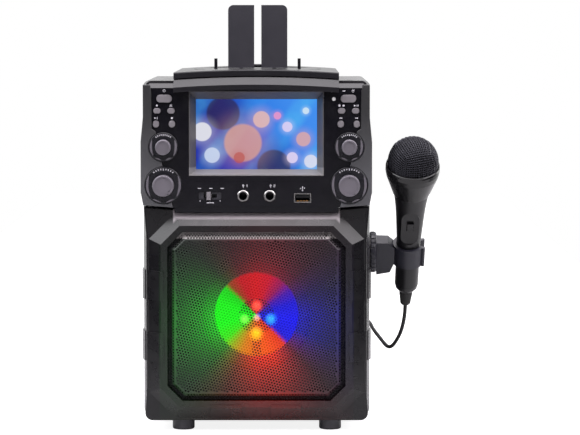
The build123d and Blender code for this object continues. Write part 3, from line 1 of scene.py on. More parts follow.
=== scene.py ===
"""Dresses the karaoke machine: its finishes, perforated grille, microphone basket, cord, prints and stage."""
import logging
import math
from dataclasses import dataclass, field
from enum import Enum
from functools import reduce
from typing import Iterable, Sequence

import bmesh
import bpy
from mathutils import Matrix, Vector


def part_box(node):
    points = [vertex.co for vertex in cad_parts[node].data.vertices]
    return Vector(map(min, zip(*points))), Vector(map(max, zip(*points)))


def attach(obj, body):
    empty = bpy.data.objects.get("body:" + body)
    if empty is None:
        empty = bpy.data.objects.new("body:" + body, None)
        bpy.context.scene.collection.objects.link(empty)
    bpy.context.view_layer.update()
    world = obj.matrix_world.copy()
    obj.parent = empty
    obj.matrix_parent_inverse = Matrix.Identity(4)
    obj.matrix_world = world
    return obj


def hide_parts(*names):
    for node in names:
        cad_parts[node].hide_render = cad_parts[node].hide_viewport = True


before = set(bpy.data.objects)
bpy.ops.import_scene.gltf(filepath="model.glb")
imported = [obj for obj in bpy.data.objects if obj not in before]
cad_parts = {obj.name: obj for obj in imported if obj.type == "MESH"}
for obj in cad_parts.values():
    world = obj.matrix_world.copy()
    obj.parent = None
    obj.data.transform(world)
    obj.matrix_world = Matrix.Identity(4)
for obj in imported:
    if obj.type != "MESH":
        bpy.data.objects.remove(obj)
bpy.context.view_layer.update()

logging.basicConfig(level=logging.INFO, format="%(name)s: %(message)s")
log = logging.getLogger("karaoke_machine")

MM = 0.001
Point = tuple[float, float, float]
Flat = tuple[float, float]
Colour = tuple[float, float, float]
Stops = tuple[tuple[float, Colour], ...]
Lights = tuple[tuple[float, float, float, Colour], ...]
Socket = bpy.types.NodeSocket
Node = bpy.types.Node
Inputs = bpy.types.NodeInputs
Outputs = bpy.types.NodeOutputs
Piece = bpy.types.Object
Value = Socket | float | Sequence[float]
Feeds = dict[int | str, Value]
BLACK: Colour = (0.0, 0.0, 0.0)
WHITE: Colour = (1.0, 1.0, 1.0)


def tone(code: str) -> Colour:
    """Turns a screen colour of six hexadecimal digits into the linear colour that a shader takes."""
    parts = [int(code[i:i + 2], 16) / 255 for i in (0, 2, 4)]
    return tuple(c / 12.92 if c <= 0.04045 else ((c + 0.055) / 1.055) ** 2.4 for c in parts)


@dataclass(frozen=True)
class Datum:
    """The drawing's axes in the frame: X from the centre plane, Y back from the front frame's face, Z up."""

    centre: float
    face: float

    def at(self, x: float, y: float, z: float) -> Vector:
        """Gives a drawing point, in millimetres, as a point of the frame, in metres."""
        return Vector((self.centre + x * MM, self.face + y * MM, z * MM))


def drawing_datum() -> Datum:
    """Finds the drawing's axes from the cabinet's sides and the front frame's pads.

    Returns:
        The datum that every class places its pieces by.
    """
    low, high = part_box("cabinet_shell")
    pad_proud = 1.2
    return Datum((low[0] + high[0]) / 2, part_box("front_frame")[0][1] + pad_proud * MM)


DATUM = drawing_datum()


# ---- node helpers
class Graph:
    """Adds nodes to one tree and joins them, so that a finish reads as a formula."""

    def __init__(self, tree: bpy.types.NodeTree) -> None:
        """Keeps the tree that the nodes go into."""
        self.tree = tree

    def feed(self, value: Value, socket: Socket) -> None:
        """Links a socket to an input, or writes a plain value in it."""
        if isinstance(value, Socket):
            self.tree.links.new(value, socket)
        elif isinstance(value, tuple) and socket.type == "RGBA":
            socket.default_value = (*value, 1.0)
        else:
            socket.default_value = value

    def add(self, kind: str, feeds: Feeds | None = None, **settings: object) -> Node:
        """Adds one node.

        Args:
            kind: Name of the node type.
            feeds: What goes into its inputs, by their number or name.
            settings: The node's properties.

        Returns:
            The new node.
        """
        node = self.tree.nodes.new(kind)
        for name, value in settings.items():
            setattr(node, name, value)
        for key, value in (feeds or {}).items():
            self.feed(value, node.inputs[key])
        return node

    def math(self, operation: str, *values: Value, **settings: object) -> Socket:
        """Adds a Math node and gives its result."""
        return self.add("ShaderNodeMath", dict(enumerate(values)), operation=operation, **settings).outputs[0]

    def plus(self, *values: Value) -> Socket:
        """Adds values up."""
        return reduce(lambda first, second: self.math("ADD", first, second), values)

    def minus(self, first: Value, second: Value) -> Socket:
        """Takes one value from another."""
        return self.math("SUBTRACT", first, second)

    def times(self, *values: Value) -> Socket:
        """Multiplies values."""
        return reduce(lambda first, second: self.math("MULTIPLY", first, second), values)

    def radius(self, across: Value, up: Value) -> Socket:
        """Gives the length of two legs at right angles."""
        return self.math("SQRT", self.plus(self.times(across, across), self.times(up, up)))

    def vector(self, operation: str, *values: Value) -> Socket:
        """Adds a Vector Math node and gives its vector result."""
        return self.add("ShaderNodeVectorMath", dict(enumerate(values)), operation=operation).outputs[0]

    def scaled(self, vector: Value, level: Value) -> Socket:
        """Scales a vector or a colour."""
        return self.add("ShaderNodeVectorMath", {0: vector, "Scale": level}, operation="SCALE").outputs[0]

    def mix(self, factor: Value, first: Value, second: Value) -> Socket:
        """Mixes two colours, the second by a factor."""
        return self.add("ShaderNodeMix", {0: factor, 6: first, 7: second}, data_type="RGBA").outputs[2]

    def stretch(self, value: Value, low: float, high: float, start: float = 0.0, end: float = 1.0) -> Socket:
        """Maps a value from the range low to high smoothly to the range start to end, held at both ends."""
        feeds = dict(enumerate((value, low, high, start, end)))
        return self.add("ShaderNodeMapRange", feeds, interpolation_type="SMOOTHSTEP").outputs[0]

    def ramp(self, factor: Value, stops: Stops) -> Socket:
        """Adds a colour ramp.

        Args:
            factor: The place along the ramp.
            stops: Places and their colours, in order.

        Returns:
            The ramp's colour.
        """
        node = self.add("ShaderNodeValToRGB", {0: factor})
        elements = node.color_ramp.elements
        while len(elements) < len(stops):
            elements.new(0.5)
        for element, (place, colour) in zip(elements, stops):
            element.position = place
            element.color = (*colour, 1.0)
        return node.outputs[0]

    def place(self) -> Socket:
        """Gives the object coordinates."""
        return self.add("ShaderNodeTexCoord").outputs["Object"]

    def drawing(self) -> tuple[Socket, ...]:
        """Gives X, Y and Z of the drawing at the shaded point, in millimetres."""
        moved = self.vector("SUBTRACT", self.place(), (DATUM.centre, DATUM.face, 0.0))
        return tuple(self.add("ShaderNodeSeparateXYZ", {0: self.scaled(moved, 1.0 / MM)}).outputs)

    def noise(self, scale: Value, detail: float) -> Socket:
        """Adds a noise on object coordinates and gives its value."""
        feeds = {"Vector": self.place(), "Scale": scale, "Detail": detail}
        return self.add("ShaderNodeTexNoise", feeds).outputs[0]


def shader_group(name: str, inputs: dict[str, str], outputs: dict[str, str]) -> tuple[Graph, Outputs, Inputs]:
    """Starts a shader node group with named sockets.

    Args:
        name: The group's name.
        inputs: Socket names and their kinds, Float or Color.
        outputs: Socket names and their kinds.

    Returns:
        The graph, what comes in, and what goes out.
    """
    graph = Graph(bpy.data.node_groups.new(name, "ShaderNodeTree"))
    for way, sockets in (("INPUT", inputs), ("OUTPUT", outputs)):
        for label, kind in sockets.items():
            graph.tree.interface.new_socket(label, in_out=way, socket_type=f"NodeSocket{kind}")
    return graph, graph.add("NodeGroupInput").outputs, graph.add("NodeGroupOutput").inputs


def new_material(name: str, feeds: Feeds) -> tuple[bpy.types.Material, Graph, Inputs]:
    """Starts a material.

    Args:
        name: Its name.
        feeds: Values for its shader's inputs, by name.

    Returns:
        The material, its graph and its shader's inputs.
    """
    material = bpy.data.materials.new(name)
    material.use_nodes = True
    graph = Graph(material.node_tree)
    inputs = material.node_tree.nodes["Principled BSDF"].inputs
    for key, value in feeds.items():
        graph.feed(value, inputs[key])
    return material, graph, inputs


def moulded_surface_group() -> bpy.types.NodeTree:
    """Builds the fine spark texture, slow colour drift and handling marks of moulded plastic and paint.

    Returns:
        A group with Colour, Roughness, Grain, Drift and Marks in, and Colour, Roughness and Height out.
    """
    graph, given, out = shader_group(
        "moulded_surface",
        {"Colour": "Color", "Roughness": "Float", "Grain": "Float", "Drift": "Float", "Marks": "Float"},
        {"Colour": "Color", "Roughness": "Float", "Height": "Float"},
    )
    grain = graph.noise(graph.math("DIVIDE", 1.0 / MM, given["Grain"]), 1.0)
    slow, wiped = graph.noise(28.0, 3.0), graph.noise(90.0, 5.0)
    uneven = graph.plus(graph.minus(slow, 0.5), graph.times(graph.minus(grain, 0.5), 1.5))
    level = graph.plus(1.0, graph.times(uneven, given["Drift"]))
    graph.feed(graph.scaled(given["Colour"], level), out["Colour"])
    smear = graph.times(graph.stretch(wiped, 0.42, 0.66), given["Marks"])
    graph.feed(graph.math("ADD", given["Roughness"], smear, use_clamp=True), out["Roughness"])
    graph.feed(grain, out["Height"])
    return graph.tree


@dataclass(frozen=True)
class LampRing:
    """The four coloured lamps in front of the speaker, with their light painted as colour and glow on the
    cone, the grille and the frame.
    """

    height: float = 96.0  # where the round patch of light has its middle, above the feet
    disc: float = 33.8  # radius of that patch
    gap: float = 6.0  # from the patch to where the light beyond it starts to drop
    reach: float = 22.0  # over this distance it drops to a third
    inner: Stops = (  # colours of the patch by clockwise turn from the top
        (0.0, (0.66, 0.0, 0.006)), (0.055, (0.60, 0.0, 0.02)), (0.11, (0.30, 0.0, 0.10)),
        (0.15, (0.06, 0.0, 0.42)), (0.20, (0.004, 0.0, 0.68)), (0.27, (0.0, 0.0, 0.92)),
        (0.35, (0.0, 0.0, 0.76)), (0.366, (0.02, 0.0, 0.60)), (0.38, (0.82, 0.03, 0.0)),
        (0.44, (0.96, 0.08, 0.0)), (0.50, (0.94, 0.13, 0.0)), (0.56, (0.72, 0.23, 0.0)),
        (0.60, (0.36, 0.42, 0.0)), (0.64, (0.04, 0.82, 0.0)), (0.70, (0.0, 0.97, 0.0)),
        (0.80, (0.0, 0.92, 0.0)), (0.862, (0.0, 0.66, 0.0)), (0.882, (0.28, 0.05, 0.006)),
        (0.93, (0.54, 0.0, 0.008)), (1.0, (0.66, 0.0, 0.006)),
    )
    outer: Stops = (  # colours of the light just beyond it
        (0.0, (0.22, 0.0, 0.002)), (0.06, (0.21, 0.0, 0.006)), (0.125, (0.10, 0.0, 0.024)),
        (0.19, (0.012, 0.0, 0.17)), (0.25, (0.0, 0.0, 0.48)), (0.31, (0.0, 0.0, 0.40)),
        (0.375, (0.15, 0.004, 0.024)), (0.44, (0.80, 0.024, 0.0)), (0.50, (0.78, 0.024, 0.0)),
        (0.56, (0.27, 0.05, 0.0)), (0.62, (0.02, 0.23, 0.002)), (0.69, (0.004, 0.49, 0.004)),
        (0.75, (0.004, 0.49, 0.004)), (0.81, (0.004, 0.28, 0.004)), (0.88, (0.02, 0.06, 0.004)),
        (0.94, (0.11, 0.005, 0.004)), (1.0, (0.22, 0.0, 0.002)),
    )
    lamps: Lights = (  # X, Z, radius and colour of each lamp, and of the pale spot amid them
        (0.2, 102.7, 6.2, (1.0, 0.10, 0.05)), (11.8, 92.0, 6.4, (0.02, 0.42, 1.0)),
        (-0.2, 80.2, 7.6, (1.0, 0.55, 0.0)), (-9.6, 92.0, 5.2, (0.22, 1.0, 0.08)),
        (0.3, 93.6, 4.0, (0.55, 0.42, 0.36)),
    )

    def group(self) -> bpy.types.NodeTree:
        """Builds the light as a shared group.

        Returns:
            A group with Colour, Spots, Disc and Haze out: the whole light, its bright points, the round
            patch's mask, and the light beyond it alone.
        """
        graph, _, out = shader_group(
            "lamp_glow", {}, {"Colour": "Color", "Spots": "Color", "Disc": "Float", "Haze": "Color"},
        )
        x, _, z = graph.drawing()
        up = graph.minus(z, self.height)
        radius = graph.radius(x, up)
        angle = graph.math("DIVIDE", graph.math("ARCTAN2", x, up), math.tau)
        turn = graph.math("FRACT", graph.plus(angle, 1.0))
        disc = graph.stretch(radius, self.disc - 0.5, self.disc + 0.5, 1.0, 0.0)
        beyond = graph.math("DIVIDE", graph.minus(radius, self.disc + self.gap), -self.reach)
        level = graph.math("POWER", math.e, graph.math("MINIMUM", beyond, 0.4))
        haze = graph.scaled(graph.ramp(turn, self.outer), level)
        spots: Value = BLACK
        for lamp_x, lamp_z, size, colour in self.lamps:
            away = graph.radius(graph.minus(x, lamp_x), graph.minus(z, lamp_z))
            spots = graph.mix(graph.stretch(away, 0.6, size, 1.0, 0.0), spots, colour)
        light = graph.mix(disc, haze, graph.ramp(turn, self.inner))
        for label, value in (("Colour", light), ("Spots", spots), ("Disc", disc), ("Haze", haze)):
            graph.feed(value, out[label])
        return graph.tree


SURFACE = moulded_surface_group()
GLOW = LampRing().group()


# ---- finishes
@dataclass(frozen=True)
class Moulded:
    """A moulded, painted or plated surface with its grain, its slow colour drift and its handling marks."""

    name: str
    code: str  # its colour
    roughness: float = 0.42
    grain: float = 0.5  # size of the grain, in millimetres
    depth: float = 0.02  # depth of the grain
    drift: float = 0.10  # how much the colour drifts
    marks: float = 0.05  # how much handling changes the roughness
    metallic: float = 0.0

    def material(self) -> bpy.types.Material:
        """Gives the finish's material, made at its first use.

        Returns:
            The material.
        """
        found = bpy.data.materials.get(self.name)
        if found:
            return found
        material, graph, shader = new_material(self.name, {"Metallic": self.metallic, "IOR": 1.46})
        surface = graph.add("ShaderNodeGroup", {
            "Colour": tone(self.code), "Roughness": self.roughness, "Grain": self.grain, "Drift": self.drift,
            "Marks": self.marks,
        }, node_tree=SURFACE).outputs
        bump = graph.add("ShaderNodeBump", {
            "Distance": self.depth * MM, "Strength": 0.6, "Height": surface["Height"],
        })
        graph.feed(surface["Roughness"], shader["Roughness"])
        graph.feed(bump.outputs[0], shader["Normal"])
        graph.feed(self.paint(graph, shader, surface["Colour"]), shader["Base Color"])
        return material

    def paint(self, graph: Graph, shader: Inputs, colour: Socket) -> Socket:
        """Gives the base colour from the surface's own: the same here, more in the finishes built on this."""
        return colour


@dataclass(frozen=True)
class Glowing(Moulded):
    """A surface that the speaker's lamps light, their light painted in as emission: it keeps its own colour,
    adds the lamps' light and takes a painted highlight above a height.
    """

    light: float = 1.0
    spots: float = 1.0
    beyond: float = 1.0  # share of the light outside the round patch
    within: float = 300.0  # the light fades behind this depth
    highlight_height: float = 500.0  # above this height a painted highlight lightens the colour
    # the painted highlight's colour
    pale: str = "a09b9a"

    def paint(self, graph: Graph, shader: Inputs, colour: Socket) -> Socket:
        """Adds the lamps' light to the shader, paints the highlight above its height and darkens the colour
        that the light hides.

        Args:
            graph: The material's graph.
            shader: The shader's inputs.
            colour: The surface's own colour.

        Returns:
            The base colour.
        """
        glow = graph.add("ShaderNodeGroup", node_tree=GLOW).outputs
        _, y, z = graph.drawing()
        level = graph.times(
            graph.stretch(glow["Disc"], 0.0, 1.0, self.beyond, 1.0), self.light,
            graph.stretch(y, self.within, self.within + 1.5, 1.0, 0.05),
        )
        points = graph.scaled(glow["Spots"], self.spots)
        graph.feed(graph.vector("ADD", graph.scaled(glow["Colour"], level), points), shader["Emission Color"])
        graph.feed(1.0, shader["Emission Strength"])
        # painted highlight: the colour is lighter above the given height
        colour = graph.mix(graph.stretch(z, self.highlight_height, self.highlight_height + 0.8), colour, tone(self.pale))
        return graph.mix(glow["Disc"], colour, graph.mix(0.85, colour, BLACK))


@dataclass(frozen=True)
class PaintedLightSatin(Moulded):
    """A satin surface with the lamps' light painted into its colour, a painted highlight along its top lip
    and painted shade behind the grille, where it is black.
    """

    lamp_spill: float = 1.0
    side: float = 78.4  # the painted lamp light ends this far from the centre plane
    foot: Point = (20.0, 60.0, 3.0)  # between these heights the painted lamp light grows downwards to so many times
    opening: Point = (73.0, 94.3, 69.5)  # the opening's half width, middle and half height
    shade_depth: float = 4.5  # depth behind which painted shade makes it black there
    lip_highlight: Point = (67.0, 3.4, 165.7)  # the painted highlight's half width, and the depth and height where it starts
    # the painted highlight's colour along the lip
    pale: str = "989195"
    # the painted shade's colour behind the grille
    dark: Colour = (0.002, 0.002, 0.002)

    def paint(self, graph: Graph, shader: Inputs, colour: Socket) -> Socket:
        """Paints the lamps' light into the colour, a highlight along the lip and black shade behind the
        grille.

        Args:
            graph: The material's graph.
            shader: The shader's inputs.
            colour: The surface's own colour.

        Returns:
            The base colour.
        """
        x, y, z = graph.drawing()
        across = graph.math("ABSOLUTE", x)
        low, high, most = self.foot
        level = graph.times(
            graph.stretch(across, self.side, self.side + 1, self.lamp_spill, 0.0),
            graph.stretch(z, low, high, most, 1.0),
        )
        # painted lamp light: the lamps' haze added to the base colour
        haze = graph.scaled(graph.add("ShaderNodeGroup", node_tree=GLOW).outputs["Haze"], level)
        width, middle, reach = self.opening
        away = graph.math("ABSOLUTE", graph.minus(z, middle))
        # painted shade: black behind the grille, inside the opening
        grille_shade = graph.times(
            graph.stretch(y, self.shade_depth, self.shade_depth + 0.4),
            graph.stretch(across, width, width + 1, 1.0, 0.0),
            graph.stretch(away, reach, reach + 0.5, 1.0, 0.0),
        )
        # painted highlight along the top bevel's lip
        width, depth, height = self.lip_highlight
        lip_highlight = graph.times(
            graph.stretch(across, width, width + 1, 1.0, 0.0),
            graph.stretch(y, depth, depth + 2),
            graph.stretch(z, height, height + 0.6),
        )
        colour = graph.vector("ADD", graph.mix(lip_highlight, colour, tone(self.pale)), haze)
        return graph.mix(grille_shade, colour, self.dark)


@dataclass(frozen=True)
class PaintedLightBand(Moulded):
    """A satin surface whose colour changes from one height to another, as painted light that lightens its
    lower part.
    """

    below: str = "000000"
    low: float = 0.0
    high: float = 1.0

    def paint(self, graph: Graph, shader: Inputs, colour: Socket) -> Socket:
        """Mixes in the lower colour, the painted light."""
        share = graph.stretch(graph.drawing()[2], self.low, self.high, 1.0, 0.0)
        return graph.mix(share, colour, tone(self.below))


@dataclass(frozen=True)
class Socketed(Moulded):
    """Bright plating at the mouth of a socket that turns dark behind a given depth, where the dark is its
    plastic and painted shade.
    """

    edge: float = 2.2
    dark: Colour = (0.004, 0.004, 0.005)

    def paint(self, graph: Graph, shader: Inputs, colour: Socket) -> Socket:
        """Darkens what lies behind the mouth, as painted shade, and makes it plain plastic."""
        # painted shade inside the socket, past the mouth
        inner = graph.stretch(graph.drawing()[1], self.edge - 0.2, self.edge + 0.2)
        graph.feed(graph.minus(1.0, inner), shader["Metallic"])
        return graph.mix(inner, colour, self.dark)


class Display:
    """The lit screen: blue stage light with soft round lights, as an idle screen shows."""

    name = "lit_screen"
    height = 241.7
    beam: Colour = (0.10, 0.58, 1.0)
    sky: Stops = (
        (0.0, (0.010, 0.030, 0.42)), (0.35, (0.012, 0.055, 0.62)),
        (0.7, (0.03, 0.22, 0.86)), (1.0, (0.06, 0.30, 0.95)),
    )
    lights: Lights = (  # X and Z from the middle, radius and colour of each
        (-27.0, 17.0, 15.0, (0.03, 0.016, 0.03)), (14.0, -26.0, 15.0, (0.03, 0.016, 0.02)),
        (-11.0, -7.0, 17.0, (0.80, 0.40, 0.28)), (-44.0, 2.0, 8.5, (1.0, 1.0, 1.0)),
        (-36.0, -17.0, 7.0, (0.75, 0.84, 1.0)), (4.0, 12.0, 7.5, (0.95, 0.58, 0.45)),
        (-14.0, -19.0, 5.0, (0.55, 0.10, 0.08)), (17.0, 15.0, 3.4, (1.0, 0.35, 0.60)),
        (25.0, 6.0, 4.6, (0.90, 0.75, 1.0)), (40.0, 19.0, 3.0, (0.80, 0.95, 1.0)),
        (38.0, -4.0, 6.5, (0.85, 0.45, 0.36)), (29.0, -19.0, 5.0, (0.95, 0.80, 1.0)),
        (44.0, -22.0, 6.0, (0.90, 0.88, 0.95)),
    )

    def material(self) -> bpy.types.Material:
        """Makes the screen's material.

        Returns:
            The material.
        """
        material, graph, shader = new_material(self.name, {
            "Emission Strength": 0.9, "Base Color": (0.004, 0.004, 0.006), "Roughness": 0.12, "IOR": 1.3,
        })
        x, _, z = graph.drawing()
        up = graph.minus(z, self.height)
        sky = graph.ramp(graph.stretch(graph.plus(x, graph.times(up, 0.6)), -60.0, 60.0), self.sky)
        wave = graph.math("SINE", graph.plus(graph.times(x, 0.075), graph.times(up, -0.055)))
        shine = graph.stretch(graph.math("ABSOLUTE", wave), 0.55, 1.0, 0.0, 0.55)
        haze = graph.stretch(graph.noise(30.0, 3.0), 0.35, 0.7, 0.2, 1.0)
        picture = graph.mix(graph.times(shine, haze), sky, self.beam)
        for light_x, light_z, size, colour in self.lights:
            away = graph.radius(graph.minus(x, light_x), graph.minus(up, light_z))
            halo = graph.stretch(away, 0.0, size * 2.0, 0.36, 0.0)
            body = graph.stretch(away, size * 0.82, size, 0.78, 0.0)
            picture = graph.mix(graph.math("MAXIMUM", halo, body), picture, colour)
        graph.feed(picture, shader["Emission Color"])
        return material


class Finish(Enum):
    """Every finish on the machine: colour, roughness, size and depth of its grain, drift and marks."""

    CASE = Moulded("case_black", "29282b", 0.24, 0.55, 0.05, 0.18, 0.06)
    # the frame's colour carries painted lamp light, a painted highlight on its lip and painted shade behind
    # the grille
    FRAME = PaintedLightSatin("frame_satin", "0c0b0e", 0.27, 0.35, 0.02, 0.05, 0.05, lamp_spill=0.16)
    PANEL = Moulded("panel_gloss", "0a090f", 0.17, 2.0, 0.004, 0.05, 0.05)
    # the bezel's lighter colour below 215 mm is a painted highlight on its bottom slope
    BEZEL = PaintedLightBand(
        "bezel_satin", "4c4a4b", 0.40, 0.4, 0.015, 0.08, 0.04, below="767474", low=214.6, high=215.6,
    )
    # the cheeks' lighter colour towards the bottom is painted shading
    CHEEK = PaintedLightBand(
        "cheek_satin", "272728", 0.38, 0.45, 0.03, 0.12, 0.05, below="4b4b4e", low=195.0, high=268.0,
    )
    LID = Moulded("lid_gloss", "151418", 0.28, 0.8, 0.006, 0.03, 0.04)
    REST = Moulded("rest_satin", "2b2a30", 0.46, 0.5, 0.03, 0.12, 0.06)
    BUTTON = Moulded("button_silver", "7a767a", 0.34, 0.3, 0.01, 0.12, 0.04, metallic=0.25)
    KNOB = Moulded("knob_silver", "6d6970", 0.28, 0.3, 0.008, 0.08, 0.04, metallic=0.35)
    RING = Moulded("ring_gloss", "15151a", 0.26, 0.6, 0.006, 0.06, 0.05)
    INNER = Moulded("inner_black", "2c2c2e", 0.55, 0.6, 0.04, 0.15, 0.05)
    STEEL = Moulded("plain_steel", "b4b4b8", 0.34, 0.25, 0.006, 0.14, 0.08, metallic=1.0)
    FERRITE = Moulded("ferrite_grey", "3d3d40", 0.62, 0.7, 0.05, 0.20, 0.05)
    BOARD = Moulded("board_green", "1e5a34", 0.38, 1.2, 0.01, 0.18, 0.05)
    RUBBER = Moulded("foot_rubber", "47464b", 0.38, 0.5, 0.02, 0.16, 0.05)
    WRAP = Moulded("battery_wrap", "27508a", 0.32, 1.4, 0.02, 0.14, 0.06)
    MIC = Moulded("mic_satin", "0c0c0f", 0.32, 0.4, 0.012, 0.10, 0.05)
    COLLAR = Moulded("collar_gloss", "0b0b0d", 0.20, 0.8, 0.006, 0.08, 0.05)
    CLIP = Moulded("clip_satin", "23232c", 0.38, 0.4, 0.02, 0.12, 0.05)
    MESH = Moulded("basket_wire", "2c2c32", 0.34, 0.3, 0.004, 0.14, 0.05, metallic=0.7)
    FOAM = Moulded("basket_foam", "0b0b0c", 0.9, 0.5, 0.15, 0.30, 0.0)
    CORD = Moulded("cord_jacket", "0b0b0c", 0.44, 0.5, 0.02, 0.14, 0.06)
    PRINT = Moulded("print_grey", "c9c7cd", 0.45, 0.4, 0.004, 0.10, 0.0)
    CHROME = Moulded("bright_nickel", "d9d7d4", 0.14, 0.4, 0.002, 0.06, 0.04, metallic=1.0)
    PORT = Socketed("port_steel", "a9a6a4", 0.26, 0.4, 0.002, 0.06, 0.04, metallic=1.0, edge=3.0)
    JACK = Socketed("jack_nickel", "d4d2d0", 0.16, 0.4, 0.002, 0.06, 0.04, metallic=1.0)
    CONTACT = Moulded("contact_gold", "d29a5c", 0.24, 0.3, 0.002, 0.10, 0.04, metallic=1.0)
    # the grille's top slope, above 157.2 mm, takes a painted highlight
    GRILLE = Glowing(
        "grille_black", "1b1a1e", 0.42, 0.3, 0.004, 0.12, 0.04, spots=0.9, within=1.6, highlight_height=157.2,
    )
    CONE = Glowing("cone_lit", "101012", 0.55, 0.5, 0.05, 0.16, 0.04, light=0.7, spots=0.4, beyond=0.2)
    BRACKET = Glowing("bracket_lit", "1a1a1c", 0.5, 0.5, 0.03, 0.16, 0.04, light=0.06, spots=1.0, beyond=0.3)
    LAMP = Glowing("lamp_lit", "d8d8d8", 0.2, 0.5, 0.002, 0.05, 0.0, light=0.5, spots=1.2, beyond=0.2)
    SCREEN = Display()

    def wear(self, *pieces: Piece) -> None:
        """Gives the finish to pieces."""
        material = self.value.material()
        for piece in pieces:
            for slot in piece.material_slots:
                slot.material = material
            if not piece.material_slots:
                piece.data.materials.append(material)


# ---- mesh helpers
def add_object(name: str, data: bpy.types.ID) -> Piece:
    """Puts an object with the given data in the scene."""
    piece = bpy.data.objects.new(name, data)
    bpy.context.scene.collection.objects.link(piece)
    return piece


def new_mesh(name: str, vertices: Iterable[Vector], faces: Iterable[Sequence[int]]) -> Piece:
    """Makes an object at the origin.

    Args:
        name: The object's name.
        vertices: Points of the frame, in metres.
        faces: Corners of each face, outward.

    Returns:
        The object, in the scene.
    """
    mesh = bpy.data.meshes.new(name)
    mesh.from_pydata([tuple(v) for v in vertices], [], [tuple(f) for f in faces])
    mesh.update()
    return add_object(name, mesh)


def wrapped_faces(rows: int, count: int) -> list[tuple[int, ...]]:
    """Gives the faces between rows of points, where the rows, and the points in each, close on themselves.

    Args:
        rows: How many rows there are.
        count: How many points each has.

    Returns:
        The corners of each face.
    """
    corners = ((0, 0), (0, 1), (1, 1), (1, 0))
    return [
        tuple((k + a) % rows * count + (i + b) % count for a, b in corners)
        for k in range(rows) for i in range(count)
    ]


def outward(piece: Piece, gap: float) -> Piece:
    """Turns the faces of a closed piece outwards.

    Args:
        piece: The piece.
        gap: Points nearer than this many millimetres are welded first.

    Returns:
        The same piece.
    """
    work = bmesh.new()
    work.from_mesh(piece.data)
    bmesh.ops.remove_doubles(work, verts=work.verts, dist=gap * MM)
    bmesh.ops.recalc_face_normals(work, faces=work.faces)
    work.to_mesh(piece.data)
    work.free()
    return piece


def join(name: str, parts: Sequence[Piece]) -> Piece:
    """Joins pieces into one.

    Args:
        name: The new name.
        parts: The pieces, which are used up.

    Returns:
        The joined piece.
    """
    with bpy.context.temp_override(active_object=parts[0], selected_editable_objects=list(parts)):
        bpy.ops.object.join()
    parts[0].name = name
    parts[0].data.name = name
    return parts[0]


@dataclass(frozen=True)
class Turning:
    """An axis that profiles are turned about, with its own across direction."""

    origin: Vector
    along: Vector
    side: Vector

    def lathe(self, name: str, profile: Sequence[Flat], steps: int = 64) -> Piece:
        """Turns a closed profile about the axis.

        Args:
            name: The piece's name.
            profile: Radii and stations along the axis, in millimetres, in order round the outline.
            steps: Facets round the axis.

        Returns:
            The piece, its faces outward, its poles closed and smooth but for edges over 35 degrees.
        """
        other = self.along.cross(self.side)
        vertices = []
        for number in range(steps):
            angle = math.tau * number / steps
            out = self.side * math.cos(angle) + other * math.sin(angle)
            vertices += [self.origin + out * (r * MM) + self.along * (s * MM) for r, s in profile]
        piece = outward(new_mesh(name, vertices, wrapped_faces(steps, len(profile))), 0.001)
        piece.data.shade_smooth()
        piece.data.set_sharp_from_angle(angle=math.radians(35.0))
        return piece


def on_circle(x: float, z: float, radius: float, angle: float) -> Flat:
    """Gives the point of a circle at an angle in radians, anticlockwise from +X."""
    return x + radius * math.cos(angle), z + radius * math.sin(angle)


class Carving:
    """Closed plates with any outline, gathered into one piece: prints, contacts and marks."""

    def __init__(self, name: str, thickness: float, front: float) -> None:
        """Starts a piece with a name, its plates' thickness and the depth of their faces."""
        self.name = name
        self.depths = (front, front + thickness)
        self.vertices: list[Vector] = []
        self.faces: list[tuple[int, ...]] = []

    def plate(self, outline: Sequence[Flat]) -> None:
        """Adds a plate.

        Args:
            outline: Corners as X and Z of the drawing, anticlockwise as seen from the front.
        """
        start, count = len(self.vertices), len(outline)
        self.vertices += [DATUM.at(x, depth, z) for depth in self.depths for x, z in outline]
        self.faces.append(tuple(range(start, start + count)))
        self.faces.append(tuple(range(start + 2 * count - 1, start + count - 1, -1)))
        for i in range(count):
            j = (i + 1) % count
            self.faces.append((start + j, start + i, start + count + i, start + count + j))

    def disc(self, x: float, z: float, radius: float) -> None:
        """Adds a round plate."""
        self.plate([on_circle(x, z, radius, math.tau * k / 20) for k in range(20)])

    def bar(self, x: float, z: float, width: float, height: float) -> None:
        """Adds a rectangular plate about its middle."""
        w, h = width / 2, height / 2
        self.plate([(x - w, z - h), (x + w, z - h), (x + w, z + h), (x - w, z + h)])

    def arc(
        self, x: float, z: float, outer: float, width: float, start: float, end: float, pointed: bool = False,
    ) -> None:
        """Adds a bowed bar.

        Args:
            x: Its centre's X.
            z: Its centre's Z.
            outer: Its outer radius.
            width: Its width in the middle.
            start: The angle where it starts, in degrees anticlockwise from +X.
            end: The angle where it ends.
            pointed: Whether it narrows to a point at both ends.
        """
        steps = max(4 if pointed else 2, round(abs(end - start) / 6))
        shares = [k / steps for k in range(steps + 1)]
        angles = [math.radians(start + (end - start) * share) for share in shares]
        outline = [on_circle(x, z, outer, angle) for angle in angles]
        if pointed:
            shares, angles = shares[1:-1], angles[1:-1]
        for share, angle in reversed(list(zip(shares, angles))):
            bow = math.sin(math.pi * share) ** 0.6 if pointed else 1.0
            outline.append(on_circle(x, z, outer - width * bow, angle))
        self.plate(outline)

    def finish(self, finish: Finish, body: str) -> None:
        """Makes the piece, in a finish and riding on a body."""
        piece = new_mesh(self.name, self.vertices, self.faces)
        finish.wear(piece)
        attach(piece, body)
        log.info("%s: %d faces", self.name, len(self.faces))


